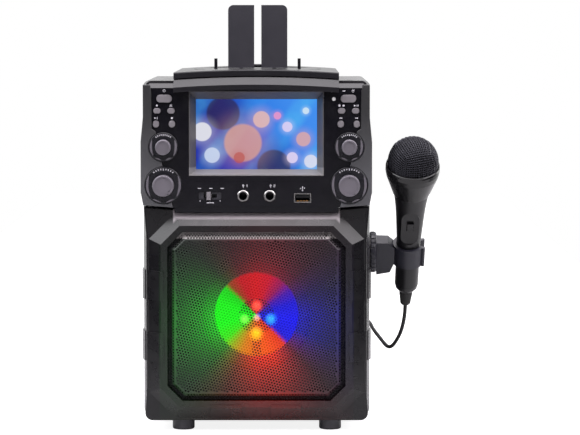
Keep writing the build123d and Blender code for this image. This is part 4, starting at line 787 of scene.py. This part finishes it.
class Pattern(Graph):
    """A geometry node tree that repeats a shape, with its sizes as named inputs."""

    def __init__(self, name: str, inputs: dict[str, str]) -> None:
        """Starts the tree with its named inputs, each a Float or an Int, beside a geometry and a material."""
        super().__init__(bpy.data.node_groups.new(name, "GeometryNodeTree"))
        for label, kind in {"Geometry": "Geometry", **inputs, "Material": "Material"}.items():
            self.tree.interface.new_socket(label, in_out="INPUT", socket_type=f"NodeSocket{kind}")
        self.tree.interface.new_socket("Geometry", in_out="OUTPUT", socket_type="NodeSocketGeometry")
        self.given = self.add("NodeGroupInput").outputs

    def node(self, kind: str, feeds: Feeds | None = None, **settings: object) -> Socket:
        """Adds a geometry node of a kind and gives its first output."""
        return self.add(f"GeometryNode{kind}", feeds, **settings).outputs[0]

    def distance(self, shape: Socket, element: str) -> Socket:
        """Gives the distance to a shape's faces or edges."""
        return self.node("Proximity", {"Geometry": shape}, target_element=element).node.outputs["Distance"]

    def together(self, *parts: Socket) -> Socket:
        """Joins geometry."""
        both = self.add("GeometryNodeJoinGeometry")
        for part in parts:
            self.feed(part, both.inputs[0])
        return both.outputs[0]

    def close(self, geometry: Socket, weld: float = 0.0) -> None:
        """Ends the tree in Realize Instances and Set Material.

        Args:
            geometry: What the tree has made.
            weld: Doubles nearer than this many metres are merged.
        """
        real = self.node("RealizeInstances", {"Geometry": geometry})
        if weld:
            real = self.node("MergeByDistance", {"Geometry": real, "Distance": weld})
        dressed = self.node("SetMaterial", {"Geometry": real, "Material": self.given["Material"]})
        self.add("NodeGroupOutput", {0: dressed})

    def grow(self, seed: Piece, **values: object) -> Piece:
        """Runs the tree on a seed object and keeps the result as a plain mesh.

        Args:
            seed: The object that carries the tree, which is used up.
            values: The tree's inputs.

        Returns:
            The new piece.
        """
        modifier = seed.modifiers.new(self.tree.name, "NODES")
        modifier.node_group = self.tree
        for item in self.tree.interface.items_tree:
            if item.in_out == "INPUT" and item.name in values:
                modifier[item.identifier] = values[item.name]
        depsgraph = bpy.context.evaluated_depsgraph_get()
        mesh = bpy.data.meshes.new_from_object(seed.evaluated_get(depsgraph), depsgraph=depsgraph)
        name = seed.name
        seed.modifiers.clear()
        bpy.data.objects.remove(seed)
        mesh.name = name
        log.info("%s: %d faces", name, len(mesh.polygons))
        return add_object(name, mesh)


# ---- stage
@dataclass(frozen=True)
class SoftBox:
    """A large soft light: its middle and target as drawing points, its size in metres, its power in watts."""

    place: Point
    size: Flat
    power: float
    colour: Colour = WHITE
    target: Point = (0, 0, 150)

    def build(self, name: str) -> None:
        """Makes the light under a name."""
        data = bpy.data.lights.new(name, "AREA")
        data.shape = "RECTANGLE"
        data.size, data.size_y = self.size
        data.energy = self.power
        data.color = self.colour
        light = add_object(name, data)
        light.location = DATUM.at(*self.place)
        aim = DATUM.at(*self.target) - light.location
        light.rotation_euler = aim.to_track_quat("-Z", "Y").to_euler()


@dataclass(frozen=True)
class Stage:
    """The camera, the white room, the floor and the lights."""

    aside: float = 27.16  # how far right of the centre plane the camera stands
    distance: float = 2251.0  # from the front frame's face to the camera
    height: float = 339.1
    pitch: float = 4.17  # how far it looks down, in degrees
    lens: float = 173.5
    sensor: float = 36.0
    bright: Colour = (0.97, 0.93, 1.0)  # the room above and behind
    dim: Colour = (0.035, 0.035, 0.042)  # the room in front
    floor_half: float = 420.0
    floor_reach: float = 3000.0
    paper: Colour = (0.42, 0.42, 0.42)
    paper_glow: float = 0.86
    lights: dict[str, SoftBox] = field(default_factory=lambda: {
        "overhead": SoftBox((0, 0, 1500), (1.6, 1.4), 36.0, (1.0, 0.96, 1.0)),
        "front_high": SoftBox((0, -1080, 1480), (1.7, 0.8), 10.0, (1.0, 0.96, 1.0)),
        "left_high": SoftBox((-1250, -520, 1150), (1.2, 1.4), 24.0, (0.97, 0.97, 1.0)),
        "right_high": SoftBox((1250, -520, 1150), (1.2, 1.4), 24.0, (1.0, 0.96, 0.99)),
        "rim_left": SoftBox((-1300, 1000, 420), (0.6, 1.0), 6.0, target=(0, 60, 150)),
        "rim_right": SoftBox((1300, 1000, 420), (0.6, 1.0), 6.0, target=(60, 60, 150)),
    })

    def camera(self) -> None:
        """Makes the camera."""
        data = bpy.data.cameras.new("camera")
        data.lens = self.lens
        data.sensor_width = self.sensor
        data.clip_start, data.clip_end = 0.05, 50.0
        camera = add_object("camera", data)
        camera.location = DATUM.at(self.aside, -self.distance, self.height)
        camera.rotation_euler = (math.radians(90 - self.pitch), 0.0, 0.0)
        bpy.context.scene.camera = camera

    def room(self) -> None:
        """Makes the world: white behind the machine and to the camera, bright above, dark in front."""
        world = bpy.data.worlds.new("white_room")
        bpy.context.scene.world = world
        world.use_nodes = True
        graph = Graph(world.node_tree)
        graph.tree.nodes.clear()
        sky = graph.add("ShaderNodeTexCoord").outputs["Generated"]
        way = graph.add("ShaderNodeSeparateXYZ", {0: sky}).outputs
        back = graph.stretch(way[1], 0.0, 0.75)
        level = graph.math("MAXIMUM", graph.stretch(way[2], 0.15, 0.85, 0.0, 0.9), back)
        surround = graph.add("ShaderNodeBackground", {0: graph.mix(level, self.dim, self.bright)})
        backdrop = graph.add("ShaderNodeBackground", {0: WHITE})
        rays = graph.add("ShaderNodeLightPath").outputs
        seen = graph.math("MAXIMUM", rays["Is Camera Ray"], rays["Is Transmission Ray"])
        seen = graph.math("MAXIMUM", seen, graph.times(rays["Is Glossy Ray"], back))
        blend = graph.add("ShaderNodeMixShader", {0: seen, 1: surround.outputs[0], 2: backdrop.outputs[0]})
        graph.add("ShaderNodeOutputWorld", {0: blend.outputs[0]})

    def floor(self) -> None:
        """Lays the floor, which glows to the camera so that only the machine's shadow isn't white."""
        half, reach = self.floor_half, self.floor_reach
        spots = ((-half, -reach), (half, -reach), (half, reach), (-half, reach))
        ground = new_mesh("floor", [DATUM.at(x, y, -0.05) for x, y in spots], [(0, 1, 2, 3)])
        material, graph, _ = new_material("floor_white", {"Base Color": self.paper, "Roughness": 0.7})
        seen = graph.times(graph.add("ShaderNodeLightPath").outputs["Is Camera Ray"], self.paper_glow)
        glow = graph.add("ShaderNodeEmission", {0: WHITE, 1: seen})
        nodes = graph.tree.nodes
        both = graph.add("ShaderNodeAddShader", {0: nodes["Principled BSDF"].outputs[0], 1: glow.outputs[0]})
        graph.feed(both.outputs[0], nodes["Material Output"].inputs[0])
        ground.data.materials.append(material)

    def build(self) -> None:
        """Makes the whole stage."""
        self.camera()
        self.room()
        self.floor()
        for name, light in self.lights.items():
            light.build(name)
        bpy.context.scene.view_settings.view_transform = "Standard"
        log.info("stage: %d lights", len(self.lights))


# ---- grille
@dataclass(frozen=True)
class Grille:
    """The perforated sheet in front of the speaker: a flat eight-sided face and eight sloped sides."""

    half: float = 87.2  # half the width of the frame's eight-sided border
    low: float = 10.7  # its lower edge
    high: float = 178.0  # its upper edge
    corner: float = 21.0  # the leg of its cut corners
    outer: float = 15.2  # the sheet's inset at its rim
    inner: float = 21.0  # the inset of its flat face
    rim: float = 5.3  # depth of the rim
    front: float = 1.0  # depth of the flat face
    sheet: float = 0.5  # the sheet's thickness
    pitch: float = 2.35  # distance between the holes
    hole: float = 0.86  # radius of a hole
    sides: int = 8  # sides of a hole
    border: float = 0.5  # the plain strip along each fold
    flange: Flat = (1.4, 1.0)  # width and thickness of the flange behind the rim

    def octagon(self, inset: float, depth: float) -> list[Vector]:
        """Gives the border's outline.

        Args:
            inset: How far it is moved in.
            depth: Its depth in the drawing.

        Returns:
            Its corners, anticlockwise as seen from the front.
        """
        w, low, high = self.half - inset, self.low + inset, self.high - inset
        leg = self.corner - inset * (2 - math.sqrt(2))
        spots = [
            (w - leg, low), (w, low + leg), (w, high - leg), (w - leg, high),
            (leg - w, high), (-w, high - leg), (-w, low + leg), (leg - w, low),
        ]
        return [DATUM.at(x, depth, z) for x, z in spots]

    def pattern(self) -> Pattern:
        """Builds the tree that fills an outline with staggered round holes.

        Returns:
            The tree, ready to grow.
        """
        labels = ("Pitch", "Hole", "Border", "Sheet", "Reach")
        tree = Pattern("perforated_sheet", dict.fromkeys(labels, "Float"))
        given, outline, pitch = tree.given, tree.given["Geometry"], tree.given["Pitch"]
        row = tree.times(pitch, math.sqrt(3) / 2)
        columns, rows = (
            tree.times(tree.math("CEIL", tree.math("DIVIDE", given["Reach"], gap)), 2.0)
            for gap in (pitch, row)
        )
        grid = tree.node("MeshGrid", {
            "Size X": tree.times(columns, pitch), "Size Y": tree.times(rows, row),
            "Vertices X": tree.plus(columns, 1.0), "Vertices Y": tree.plus(rows, 1.0),
        })
        where = tree.add("ShaderNodeSeparateXYZ", {0: tree.node("InputPosition")}).outputs
        line = tree.math("ROUND", tree.math("DIVIDE", where[1], row))
        odd = tree.math("ABSOLUTE", tree.math("MODULO", line, 2.0))
        shift = tree.add("ShaderNodeCombineXYZ", {0: tree.times(odd, pitch, 0.5)}).outputs[0]
        spots = tree.node("SetPosition", {"Geometry": grid, "Offset": shift})
        inside = tree.distance(tree.node("FillCurve", {"Curve": outline}), "FACES")
        fold = tree.distance(tree.node("CurveToMesh", {"Curve": outline}), "EDGES")
        near = tree.math("LESS_THAN", fold, tree.plus(given["Hole"], given["Border"]))
        lost = tree.math("MAXIMUM", tree.math("GREATER_THAN", inside, 1e-6), near)
        kept = tree.node("DeleteGeometry", {"Geometry": spots, "Selection": lost})
        ring = tree.node("CurvePrimitiveCircle", {"Resolution": self.sides, "Radius": given["Hole"]})
        holes = tree.node("InstanceOnPoints", {"Points": kept, "Instance": ring})
        cut = tree.together(outline, tree.node("RealizeInstances", {"Geometry": holes}))
        face = tree.node("FillCurve", {"Curve": cut})
        deep = tree.add("ShaderNodeCombineXYZ", {2: tree.times(given["Sheet"], -1.0)}).outputs[0]
        walls = tree.node("ExtrudeMesh", {
            "Mesh": face, "Individual": False, "Offset": deep, "Offset Scale": 1.0,
        })
        tree.close(tree.together(face, walls), 1e-6)
        return tree

    def panel(self, tree: Pattern, name: str, corners: Sequence[Vector]) -> Piece:
        """Makes one flat perforated panel.

        Args:
            tree: The perforation tree.
            name: The panel's name.
            corners: Its corners, anticlockwise from the front.

        Returns:
            The panel, in the frame.
        """
        middle = sum(corners, Vector()) / len(corners)
        along = (corners[1] - corners[0]).normalized()
        normal = along.cross(corners[2] - corners[1]).normalized()
        turn = Matrix((along, normal.cross(along), normal)).transposed().to_4x4()
        place = Matrix.Translation(middle) @ turn
        local = [place.inverted() @ corner for corner in corners]
        curve = bpy.data.curves.new(name, "CURVE")
        spline = curve.splines.new("POLY")
        spline.points.add(len(local) - 1)
        for point, spot in zip(spline.points, local):
            point.co = (*spot, 1.0)
        spline.use_cyclic_u = True
        piece = tree.grow(
            add_object(name, curve), Pitch=self.pitch * MM, Hole=self.hole * MM, Border=self.border * MM,
            Sheet=self.sheet * MM, Reach=max(spot.length for spot in local),
            Material=Finish.GRILLE.value.material(),
        )
        piece.data.transform(place)
        return outward(piece, 0.0005)

    def build(self) -> None:
        """Makes the whole grille, which stands for the moulded one."""
        tree = self.pattern()
        face, rim = self.octagon(self.inner, self.front), self.octagon(self.outer, self.rim)
        panels = [self.panel(tree, "grille_face", face)]
        for i in range(len(face)):
            j = (i + 1) % len(face)
            panels.append(self.panel(tree, f"grille_side_{i}", [rim[i], rim[j], face[j], face[i]]))
        width, thickness = self.flange
        places = ((0.0, 0.0), (width, 0.0), (width, thickness), (0.0, thickness))
        rings = [self.octagon(self.outer + inset, self.rim + depth) for inset, depth in places]
        faces = wrapped_faces(len(rings), len(rim))
        flange = outward(new_mesh("grille_flange", sum(rings, []), faces), 0.0005)
        Finish.GRILLE.wear(flange)
        grille = join("grille_mesh", [*panels, flange])
        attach(grille, "cabinet")
        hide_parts("speaker_grille")
        log.info("grille_mesh: %d faces", len(grille.data.polygons))


# ---- microphone
@dataclass(frozen=True)
class Microphone:
    """The microphone's woven basket and its rim. Stations run along its axis from where the clip holds it."""

    pivot: Point = (125.1, 60.0, 142.0)
    lean: float = 30.0  # how far the head leans to the front, in degrees
    tilt: float = 1.4  # how far it leans away from the cabinet
    centre: float = 89.3  # station of the basket's centre
    radius: float = 20.75
    cut: float = 79.0  # station where the collar's rim cuts the basket
    wire: float = 0.34  # radius of a wire
    sides: int = 4  # sides of a wire
    cells: int = 18  # divisions of each side of the cube that the weave is laid out on
    twist: float = 20.0  # how far the weave is turned about the axis
    slack: float = 0.15  # between the weave and the foam
    rim: tuple[Flat, ...] = ((20.9, 85.3), (22.0, 85.4), (21.9, 86.2), (21.3, 86.7), (20.8, 86.5))

    @property
    def turning(self) -> Turning:
        """The microphone's own axis."""
        lean, tilt = math.radians(self.lean), math.radians(self.tilt)
        along = Vector((math.cos(lean) * math.sin(tilt), -math.sin(lean), math.cos(lean) * math.cos(tilt)))
        return Turning(DATUM.at(*self.pivot), along, Vector((math.cos(tilt), 0.0, -math.sin(tilt))))

    def weave(self) -> Pattern:
        """Builds the tree that lays crossing wires over a ball and cuts them off below the collar.

        Returns:
            The tree, ready to grow.
        """
        tree = Pattern("woven_ball", {"Radius": "Float", "Wire": "Float", "Cells": "Int", "Cut": "Float"})
        given = tree.given
        cube = tree.node("MeshCube", {f"Vertices {axis}": given["Cells"] for axis in "XYZ"})
        turned = tree.scaled(tree.node("InputPosition"), math.pi / 2)
        out = tree.vector("NORMALIZE", tree.vector("TANGENT", turned))
        side = tree.minus(tree.math("MODULO", tree.node("InputIndex"), 2.0), 0.5)
        level = tree.plus(tree.minus(given["Radius"], given["Wire"]), tree.times(side, given["Wire"], 1.1))
        ball = tree.node("SetPosition", {"Geometry": cube, "Position": tree.scaled(out, level)})
        height = tree.add("ShaderNodeSeparateXYZ", {0: tree.node("InputPosition")}).outputs[2]
        below = tree.math("LESS_THAN", height, given["Cut"])
        kept = tree.node("DeleteGeometry", {"Geometry": ball, "Selection": below})
        wires = tree.node("MeshToCurve", {"Mesh": kept})
        profile = tree.node("CurvePrimitiveCircle", {"Resolution": self.sides, "Radius": given["Wire"]})
        tree.close(tree.node("CurveToMesh", {"Curve": wires, "Profile Curve": profile, "Fill Caps": True}))
        return tree

    def build(self) -> None:
        """Makes the basket, of the weave and the foam in it, and the rim that it sits in."""
        turning = self.turning
        weave = self.weave().grow(
            new_mesh("basket_weave", [], []), Radius=self.radius * MM, Wire=self.wire * MM, Cells=self.cells,
            Cut=(self.cut - self.centre) * MM, Material=Finish.MESH.value.material(),
        )
        middle = turning.origin + turning.along * (self.centre * MM)
        turn = Matrix((turning.side, turning.along.cross(turning.side), turning.along)).transposed().to_4x4()
        turn = turn @ Matrix.Rotation(math.radians(self.twist), 4, "Z")
        weave.data.transform(Matrix.Translation(middle) @ turn)
        weave.data.shade_smooth()
        size = self.radius - 3 * self.wire - self.slack
        start = math.asin((self.cut - self.centre) / size)
        angles = [start + (math.pi / 2 - start) * k / 24 for k in range(25)]
        ball = [on_circle(0.0, self.centre, size, a) for a in angles]
        foam = turning.lathe("basket_foam", [(0.0, self.cut), *ball])
        Finish.FOAM.wear(foam)
        head = join("mic_basket", [weave, foam])
        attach(head, "microphone")
        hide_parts("mic_head")
        log.info("mic_basket: %d faces", len(head.data.polygons))
        rim = turning.lathe("mic_rim", self.rim)
        Finish.COLLAR.wear(rim)
        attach(rim, "microphone")


# ---- cord
@dataclass(frozen=True)
class Cord:
    """The microphone's cord: from the grip, down the side, over the hook behind, into its stored turns."""

    route: tuple[Point, ...] = (  # from the grip's end to the turns
        (123.99, 86.3, 96.46), (123.73, 92.3, 86.07), (120.8, 102.5, 70.0), (112.4, 118.0, 55.4),
        (104.1, 142.0, 61.5), (98.8, 170.0, 66.5), (95.0, 188.0, 71.0), (76.0, 188.0, 78.6),
        (54.0, 187.0, 78.6), (38.0, 190.0, 66.0), (32.0, 197.0, 40.0), (30.0, 201.0, 22.0),
        (24.0, 206.0, 5.0), (10.0, 209.0, 1.6),
    )
    gap: float = 9.0  # about how far apart the route's control points are
    centre: Flat = (-10.0, 235.0)  # X and Y of the turns' middle
    columns: tuple[float, ...] = (22.6, 19.35, 16.1)  # radii of the side-by-side turns, outermost first
    layers: tuple[float, ...] = (1.65, 4.9, 8.15, 11.4)  # heights of the layers, lowest first
    shifts: tuple[float, ...] = (0.0, 1.0, 2.0, 4.0, 5.0, 7.0, 8.0, 10.0, 10.95)  # where the column changes
    climbs: tuple[float, ...] = (2.65, 5.65, 8.65, 11.15)  # where the layer changes, in turns
    total: float = 11.5  # turns in all
    lead: float = 25.9  # radius where the cord comes in and leaves
    entry: float = 0.35  # share of a turn that a change takes
    steps: int = 24  # control points in a turn
    plug: Point = (8.0, 260.9, 5.2)  # where the plug's grip starts
    radius: float = 1.6

    def step(self, place: float, values: Sequence[float], starts: Sequence[float]) -> float:
        """Gives a value that changes from one to the next over the entry share after each start.

        Args:
            place: Turns wound so far.
            values: The values in order.
            starts: Where each change begins, in turns.

        Returns:
            The value at that place.
        """
        result = values[0]
        for value, start in zip(values[1:], starts):
            share = min(max((place - start) / self.entry, 0.0), 1.0)
            result += (value - result) * share * share * (3 - 2 * share)
        return result

    def turns(self) -> list[Point]:
        """Winds the stored turns, in and out over the columns and one layer on the next.

        Returns:
            The control points.
        """
        outer, middle, inner = self.columns
        radii = [self.lead, outer, middle, inner, middle, outer, middle, inner, middle, self.lead]
        heights = [*self.layers, self.plug[2]]
        spots = []
        for number in range(1, round(self.total * self.steps) + 1):
            place = number / self.steps
            radius = self.step(place, radii, self.shifts)
            flat = on_circle(*self.centre, radius, -math.pi / 2 - math.tau * place)
            spots.append((*flat, self.step(place, heights, self.climbs)))
        return spots

    def through(self, points: Sequence[Point]) -> list[Point]:
        """Lays a smooth line through the route's points.

        Args:
            points: The route.

        Returns:
            Its control points, evenly spaced.
        """
        spots = [Vector(p) for p in points]
        ends = [spots[0] * 2 - spots[1], *spots, spots[-1] * 2 - spots[-2]]
        line = []
        for a, b, c, d in zip(ends, ends[1:], ends[2:], ends[3:]):
            count = max(2, round((c - b).length / self.gap))
            for s in (k / count for k in range(count)):
                bend = (2 * a - 5 * b + 4 * c - d) * s ** 2 + (3 * b - a - 3 * c + d) * s ** 3
                line.append(0.5 * (2 * b + (c - a) * s + bend))
        return [tuple(p) for p in [*line, spots[-1]]]

    def build(self) -> None:
        """Makes the cord, which stands for the modelled tube and its ring of turns."""
        x, y, z = self.plug
        last = (self.centre[0], self.centre[1] - self.lead, self.radius + 0.05)
        tail = [(x - 9, y + 0.3, z), (x - 1, y, z), (x + 3, y, z)]
        points = [*self.through([*self.route, last]), *self.turns(), *tail]
        curve = bpy.data.curves.new("mic_cord_line", "CURVE")
        curve.dimensions = "3D"
        curve.bevel_depth = self.radius * MM
        curve.bevel_resolution = 3
        curve.use_fill_caps = True
        curve.resolution_u = 4
        spline = curve.splines.new("NURBS")
        spline.points.add(len(points) - 1)
        real = [DATUM.at(*spot) for spot in points]
        for point, spot in zip(spline.points, real):
            point.co = (*spot, 1.0)
        spline.order_u = 3
        spline.use_endpoint_u = True
        cord = add_object("mic_cord_line", curve)
        Finish.CORD.wear(cord)
        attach(cord, "cabinet")
        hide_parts("mic_cord", "mic_cord_coil")
        plug = self.plug_piece()
        DATUM.at(*self.route[0])

    def plug_piece(self) -> Piece:
        """Makes the plug: its ribbed grip, its sleeve and its tip.

        Returns:
            The plug.
        """
        turning = Turning(DATUM.at(*self.plug), Vector((1.0, 0.0, 0.0)), Vector((0.0, 1.0, 0.0)))
        ribs = []
        for start in (4.0 + 1.9 * k for k in range(12)):
            ribs += [(5.15, start), (5.15, start + 1.1), (4.8, start + 1.3), (4.8, start + 1.7)]
        grip = turning.lathe("plug_grip", [
            (0.0, 0.0), (3.6, 0.0), (4.6, 2.4), *ribs, (5.15, 27.4), (5.15, 33.4), (4.7, 34.0), (0.0, 34.0),
        ], 48)
        Finish.MIC.wear(grip)
        tip = turning.lathe("plug_tip", [
            (0.0, 34.1), (3.1, 34.1), (3.1, 56.0), (2.85, 56.0), (2.85, 57.2), (3.1, 57.2), (3.1, 60.2),
            (2.2, 61.2), (2.2, 62.0), (3.0, 63.2), (2.7, 64.6), (1.2, 66.2), (0.0, 66.3),
        ], 48)
        Finish.CHROME.wear(tip)
        plug = join("mic_plug_turned", [grip, tip])
        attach(plug, "cabinet")
        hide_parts("mic_plug")
        return plug


# ---- prints
@dataclass(frozen=True)
class Prints:
    """The marks beside the controls: ticks, arcs, numerals and plain symbols, and painted reflections on the
    knobs' rings.
    """

    panel: float = 2.97  # depth of the upper marks' faces
    pad: float = 2.37  # depth of the lower ones'
    ring: float = 0.47  # depth of those on the knobs' rings
    pocket: float = 1.38  # depth of the switch's pads behind the lower marks
    thickness: float = 0.03
    rings: tuple[Flat, ...] = ((231.9, 11.8), (200.9, 14.9))  # height and radius of the knobs' rings
    knob_x: float = 75.0
    port_x: float = 37.3

    def ring_reflections(self) -> None:
        """Adds the painted reflections, bright silver crescents, and the dial's ticks on the knobs' rings."""
        marks = Carving("ring_reflections", self.thickness, self.ring)
        ticks = Carving("dial_ticks", self.thickness, self.ring)
        # bows: spans and widths of the painted reflections on each ring, as silver crescents
        bows = ((146.0, 222.0, 1.9), (-42.0, 34.0, 1.9), (232.0, 262.0, 1.2), (278.0, 308.0, 1.2))
        for x in (-self.knob_x, self.knob_x):
            for height, outer in self.rings:
                for start, end, width in bows:
                    marks.arc(x, height, outer - 0.8, width, start, end, pointed=True)
                for k in range(9):
                    angle, length = 54.0 + 9.0 * k, 3.0 if k == 4 else 2.5
                    ticks.arc(x, height, outer - 1.3, length - 1.3, angle - 1.6, angle + 1.6)
        marks.finish(Finish.KNOB, "cabinet")
        ticks.finish(Finish.PRINT, "cabinet")

    def symbols(self) -> None:
        """Adds the plain symbols above the buttons."""
        signs = Carving("control_symbols", self.thickness, self.panel)
        upper, lower, top = 265.2, 255.1, 277.1
        for disc in ((-80.1, upper, 0.75), (70.3, upper, 0.85), (78.0, top + 0.1, 0.55)):
            signs.disc(*disc)
        lines = [(-68.8, upper + 0.65 * (k - 1), 2.0, 0.28) for k in range(3)]
        pause = [(x, upper, 0.45, 1.6) for x in (81.2, 82.1)]
        battery = [
            *((62.2, top + side, 3.6, 0.25) for side in (1.0, -1.0)),
            *((x, top, 0.25, 2.2) for x in (60.5, 63.9)), (64.3, top, 0.4, 1.0), (61.4, top, 1.0, 1.4),
        ]
        for bar in (
            *lines, *pause, *battery, (-80.0, lower, 0.4, 1.6), (-68.1, lower, 1.4, 1.4),
            (67.0, upper, 1.5, 1.5), (-74.3, top + 1.0, 0.3, 1.2), (70.6, top - 0.1, 2.4, 0.7),
        ):
            signs.bar(*bar)
        for x, z, width, height in ((-82.2, lower, 1.4, 0.8), (78.6, upper, 1.7, 0.9)):
            signs.plate([(x, z - height), (x + width, z), (x, z + height)])
        for x, way in ((68.1, -1), (81.0, 1)):
            for shift in (-1.2, 0.1):
                a, b = x + shift * way, x + (shift + 1.2) * way
                signs.plate([(a, lower - 0.75), (b, lower), (a, lower + 0.75)][::way])
        signs.arc(-74.3, top + 0.1, 1.1, 0.3, 120.0, 420.0)
        for k in range(8):
            signs.arc(78.0, top + 0.1, 1.4, 0.5, 45 * k - 7, 45 * k + 7)
        signs.finish(Finish.PRINT, "cabinet")

    def socket_marks(self) -> None:
        """Adds the numerals over the jacks, the ticks round the switch and the sign over the port."""
        marks = Carving("socket_marks", self.thickness, self.pad)
        one = [(-7.5, 200.4, 0.4, 2.0), (-7.85, 201.15, 0.5, 0.35)]
        two = [
            *((14.6, z, 1.4, 0.32) for z in (201.25, 200.4, 199.55)), (15.15, 200.8, 0.32, 1.1),
            (14.05, 199.95, 0.32, 1.1),
        ]
        switch = [
            *((x, 198.4, 2.6, 0.5) for x in (-46.0, -36.8, -27.6)), (-37.4, 186.7, 6.0, 0.5),
            *((x, 188.2, 0.35, 1.2) for x in (-45.5, -29.3)),
        ]
        x = self.port_x
        for bar in (*one, *two, *switch, (x, 197.9, 0.35, 2.6), (x + 1.5, 198.6, 0.7, 0.7)):
            marks.bar(*bar)
        marks.plate([(x - 0.6, 199.2), (x + 0.6, 199.2), (x, 200.2)])
        marks.disc(x, 196.6, 0.5)
        marks.disc(x - 1.5, 198.2, 0.4)
        for jack_x in (-10.6, 11.5):
            marks.arc(jack_x, 200.7, 0.75, 0.4, 0.0, 360.0)
            marks.bar(jack_x, 199.5, 0.35, 1.3)
        marks.finish(Finish.PRINT, "cabinet")

    def knob_marks(self) -> None:
        """Adds each knob's pointer."""
        (small, _), (large, _) = self.rings
        for name, height, reach, turn in (
            ("balance_knob", small, 4.6, 90.0), ("echo_knob", small, 4.6, 90.0),
            ("master_volume_knob", large, 6.6, 90.0), ("mic_volume_knob", large, 6.6, -40.0),
        ):
            low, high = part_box(name)
            across = ((low[0] + high[0]) / 2 - DATUM.centre) / MM
            mark = Carving(f"{name}_mark", self.thickness, (low[1] - DATUM.face) / MM + 0.2)
            mark.disc(*on_circle(across, height, reach, math.radians(turn)), 0.5)
            mark.finish(Finish.RING, name)

    def switch_pads(self) -> None:
        """Adds the grey pads in the switch's pocket."""
        pads = Carving("switch_pads", 0.2, self.pad + self.pocket)
        for x, z, width, height in (
            (-44.6, 192.2, 4.0, 6.2), (-30.2, 192.2, 3.6, 6.2),
            *((-34.0, height, 4.0, 1.6) for height in (189.9, 194.5)),
        ):
            pads.bar(x, z, width, height)
        pads.finish(Finish.REST, "cabinet")

    def port_contacts(self) -> None:
        """Adds the contacts on the port's tongue."""
        strips = Carving("port_contacts", 8.0, 3.4)
        for k in range(4):
            strips.bar(self.port_x + (k - 1.5) * 2.5, 188.1, 1.5, 0.9)
        strips.finish(Finish.CONTACT, "cabinet")

    def build(self) -> None:
        """Adds every mark."""
        self.ring_reflections()
        self.symbols()
        self.socket_marks()
        self.switch_pads()
        self.knob_marks()
        self.port_contacts()


# ---- machine
@dataclass(frozen=True)
class Machine:
    """The modelled pieces and the finish that each one wears."""

    finishes: dict[Finish, tuple[str, ...]] = field(default_factory=lambda: {
        Finish.CASE: ("cabinet_shell", "rear_cover"),
        Finish.FRAME: ("front_frame",),
        Finish.PANEL: ("control_panel",),
        Finish.BEZEL: ("screen_bezel",),
        Finish.CHEEK: ("side_cheeks",),
        Finish.LID: ("disc_lid", "visor"),
        Finish.REST: ("tablet_rest",),
        Finish.BUTTON: (
            "power_button", "light_button", "record_button", "program_button", "play_button", "stop_button",
            "page_up_button", "page_down_button", "previous_button", "next_button", "function_slider",
        ),
        Finish.KNOB: ("balance_knob", "echo_knob", "master_volume_knob", "mic_volume_knob"),
        Finish.RING: ("knob_rings",),
        Finish.INNER: (
            "disc_deck", "turntable", "pickup_sled", "drive_gear", "rear_sockets", "switches", "mic_capsule",
        ),
        Finish.STEEL: ("speaker_basket", "mechanism_plate", "drive_motors", "screws", "potentiometers"),
        Finish.FERRITE: ("speaker_magnet",),
        Finish.BOARD: ("circuit_boards",),
        Finish.RUBBER: ("feet",),
        Finish.WRAP: ("battery_pack",),
        Finish.MIC: ("mic_body", "mic_switch"),
        Finish.COLLAR: ("mic_collar",),
        Finish.CLIP: ("holder_base", "mic_holder"),
        Finish.JACK: ("mic_jacks",),
        Finish.PORT: ("usb_port",),
        Finish.CONE: ("speaker_cone", "speaker_suspension"),
        Finish.BRACKET: ("lamp_bracket",),
        Finish.LAMP: ("lamps",),
        Finish.CORD: ("mic_strain_relief",),
        Finish.SCREEN: ("screen_glass", "screen_module"),
    })

    def build(self) -> None:
        """Gives every modelled piece its finish."""
        for finish, names in self.finishes.items():
            finish.wear(*(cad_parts[name] for name in names))
        log.info("machine: %d finishes", len(self.finishes))


def main() -> None:
    """Builds the scene in order: stage and cord first, then finishes, grille, microphone and prints."""
    for part in (Stage(), Cord(), Machine(), Grille(), Microphone(), Prints()):
        part.build()


if __name__ == "__main__":
    main()
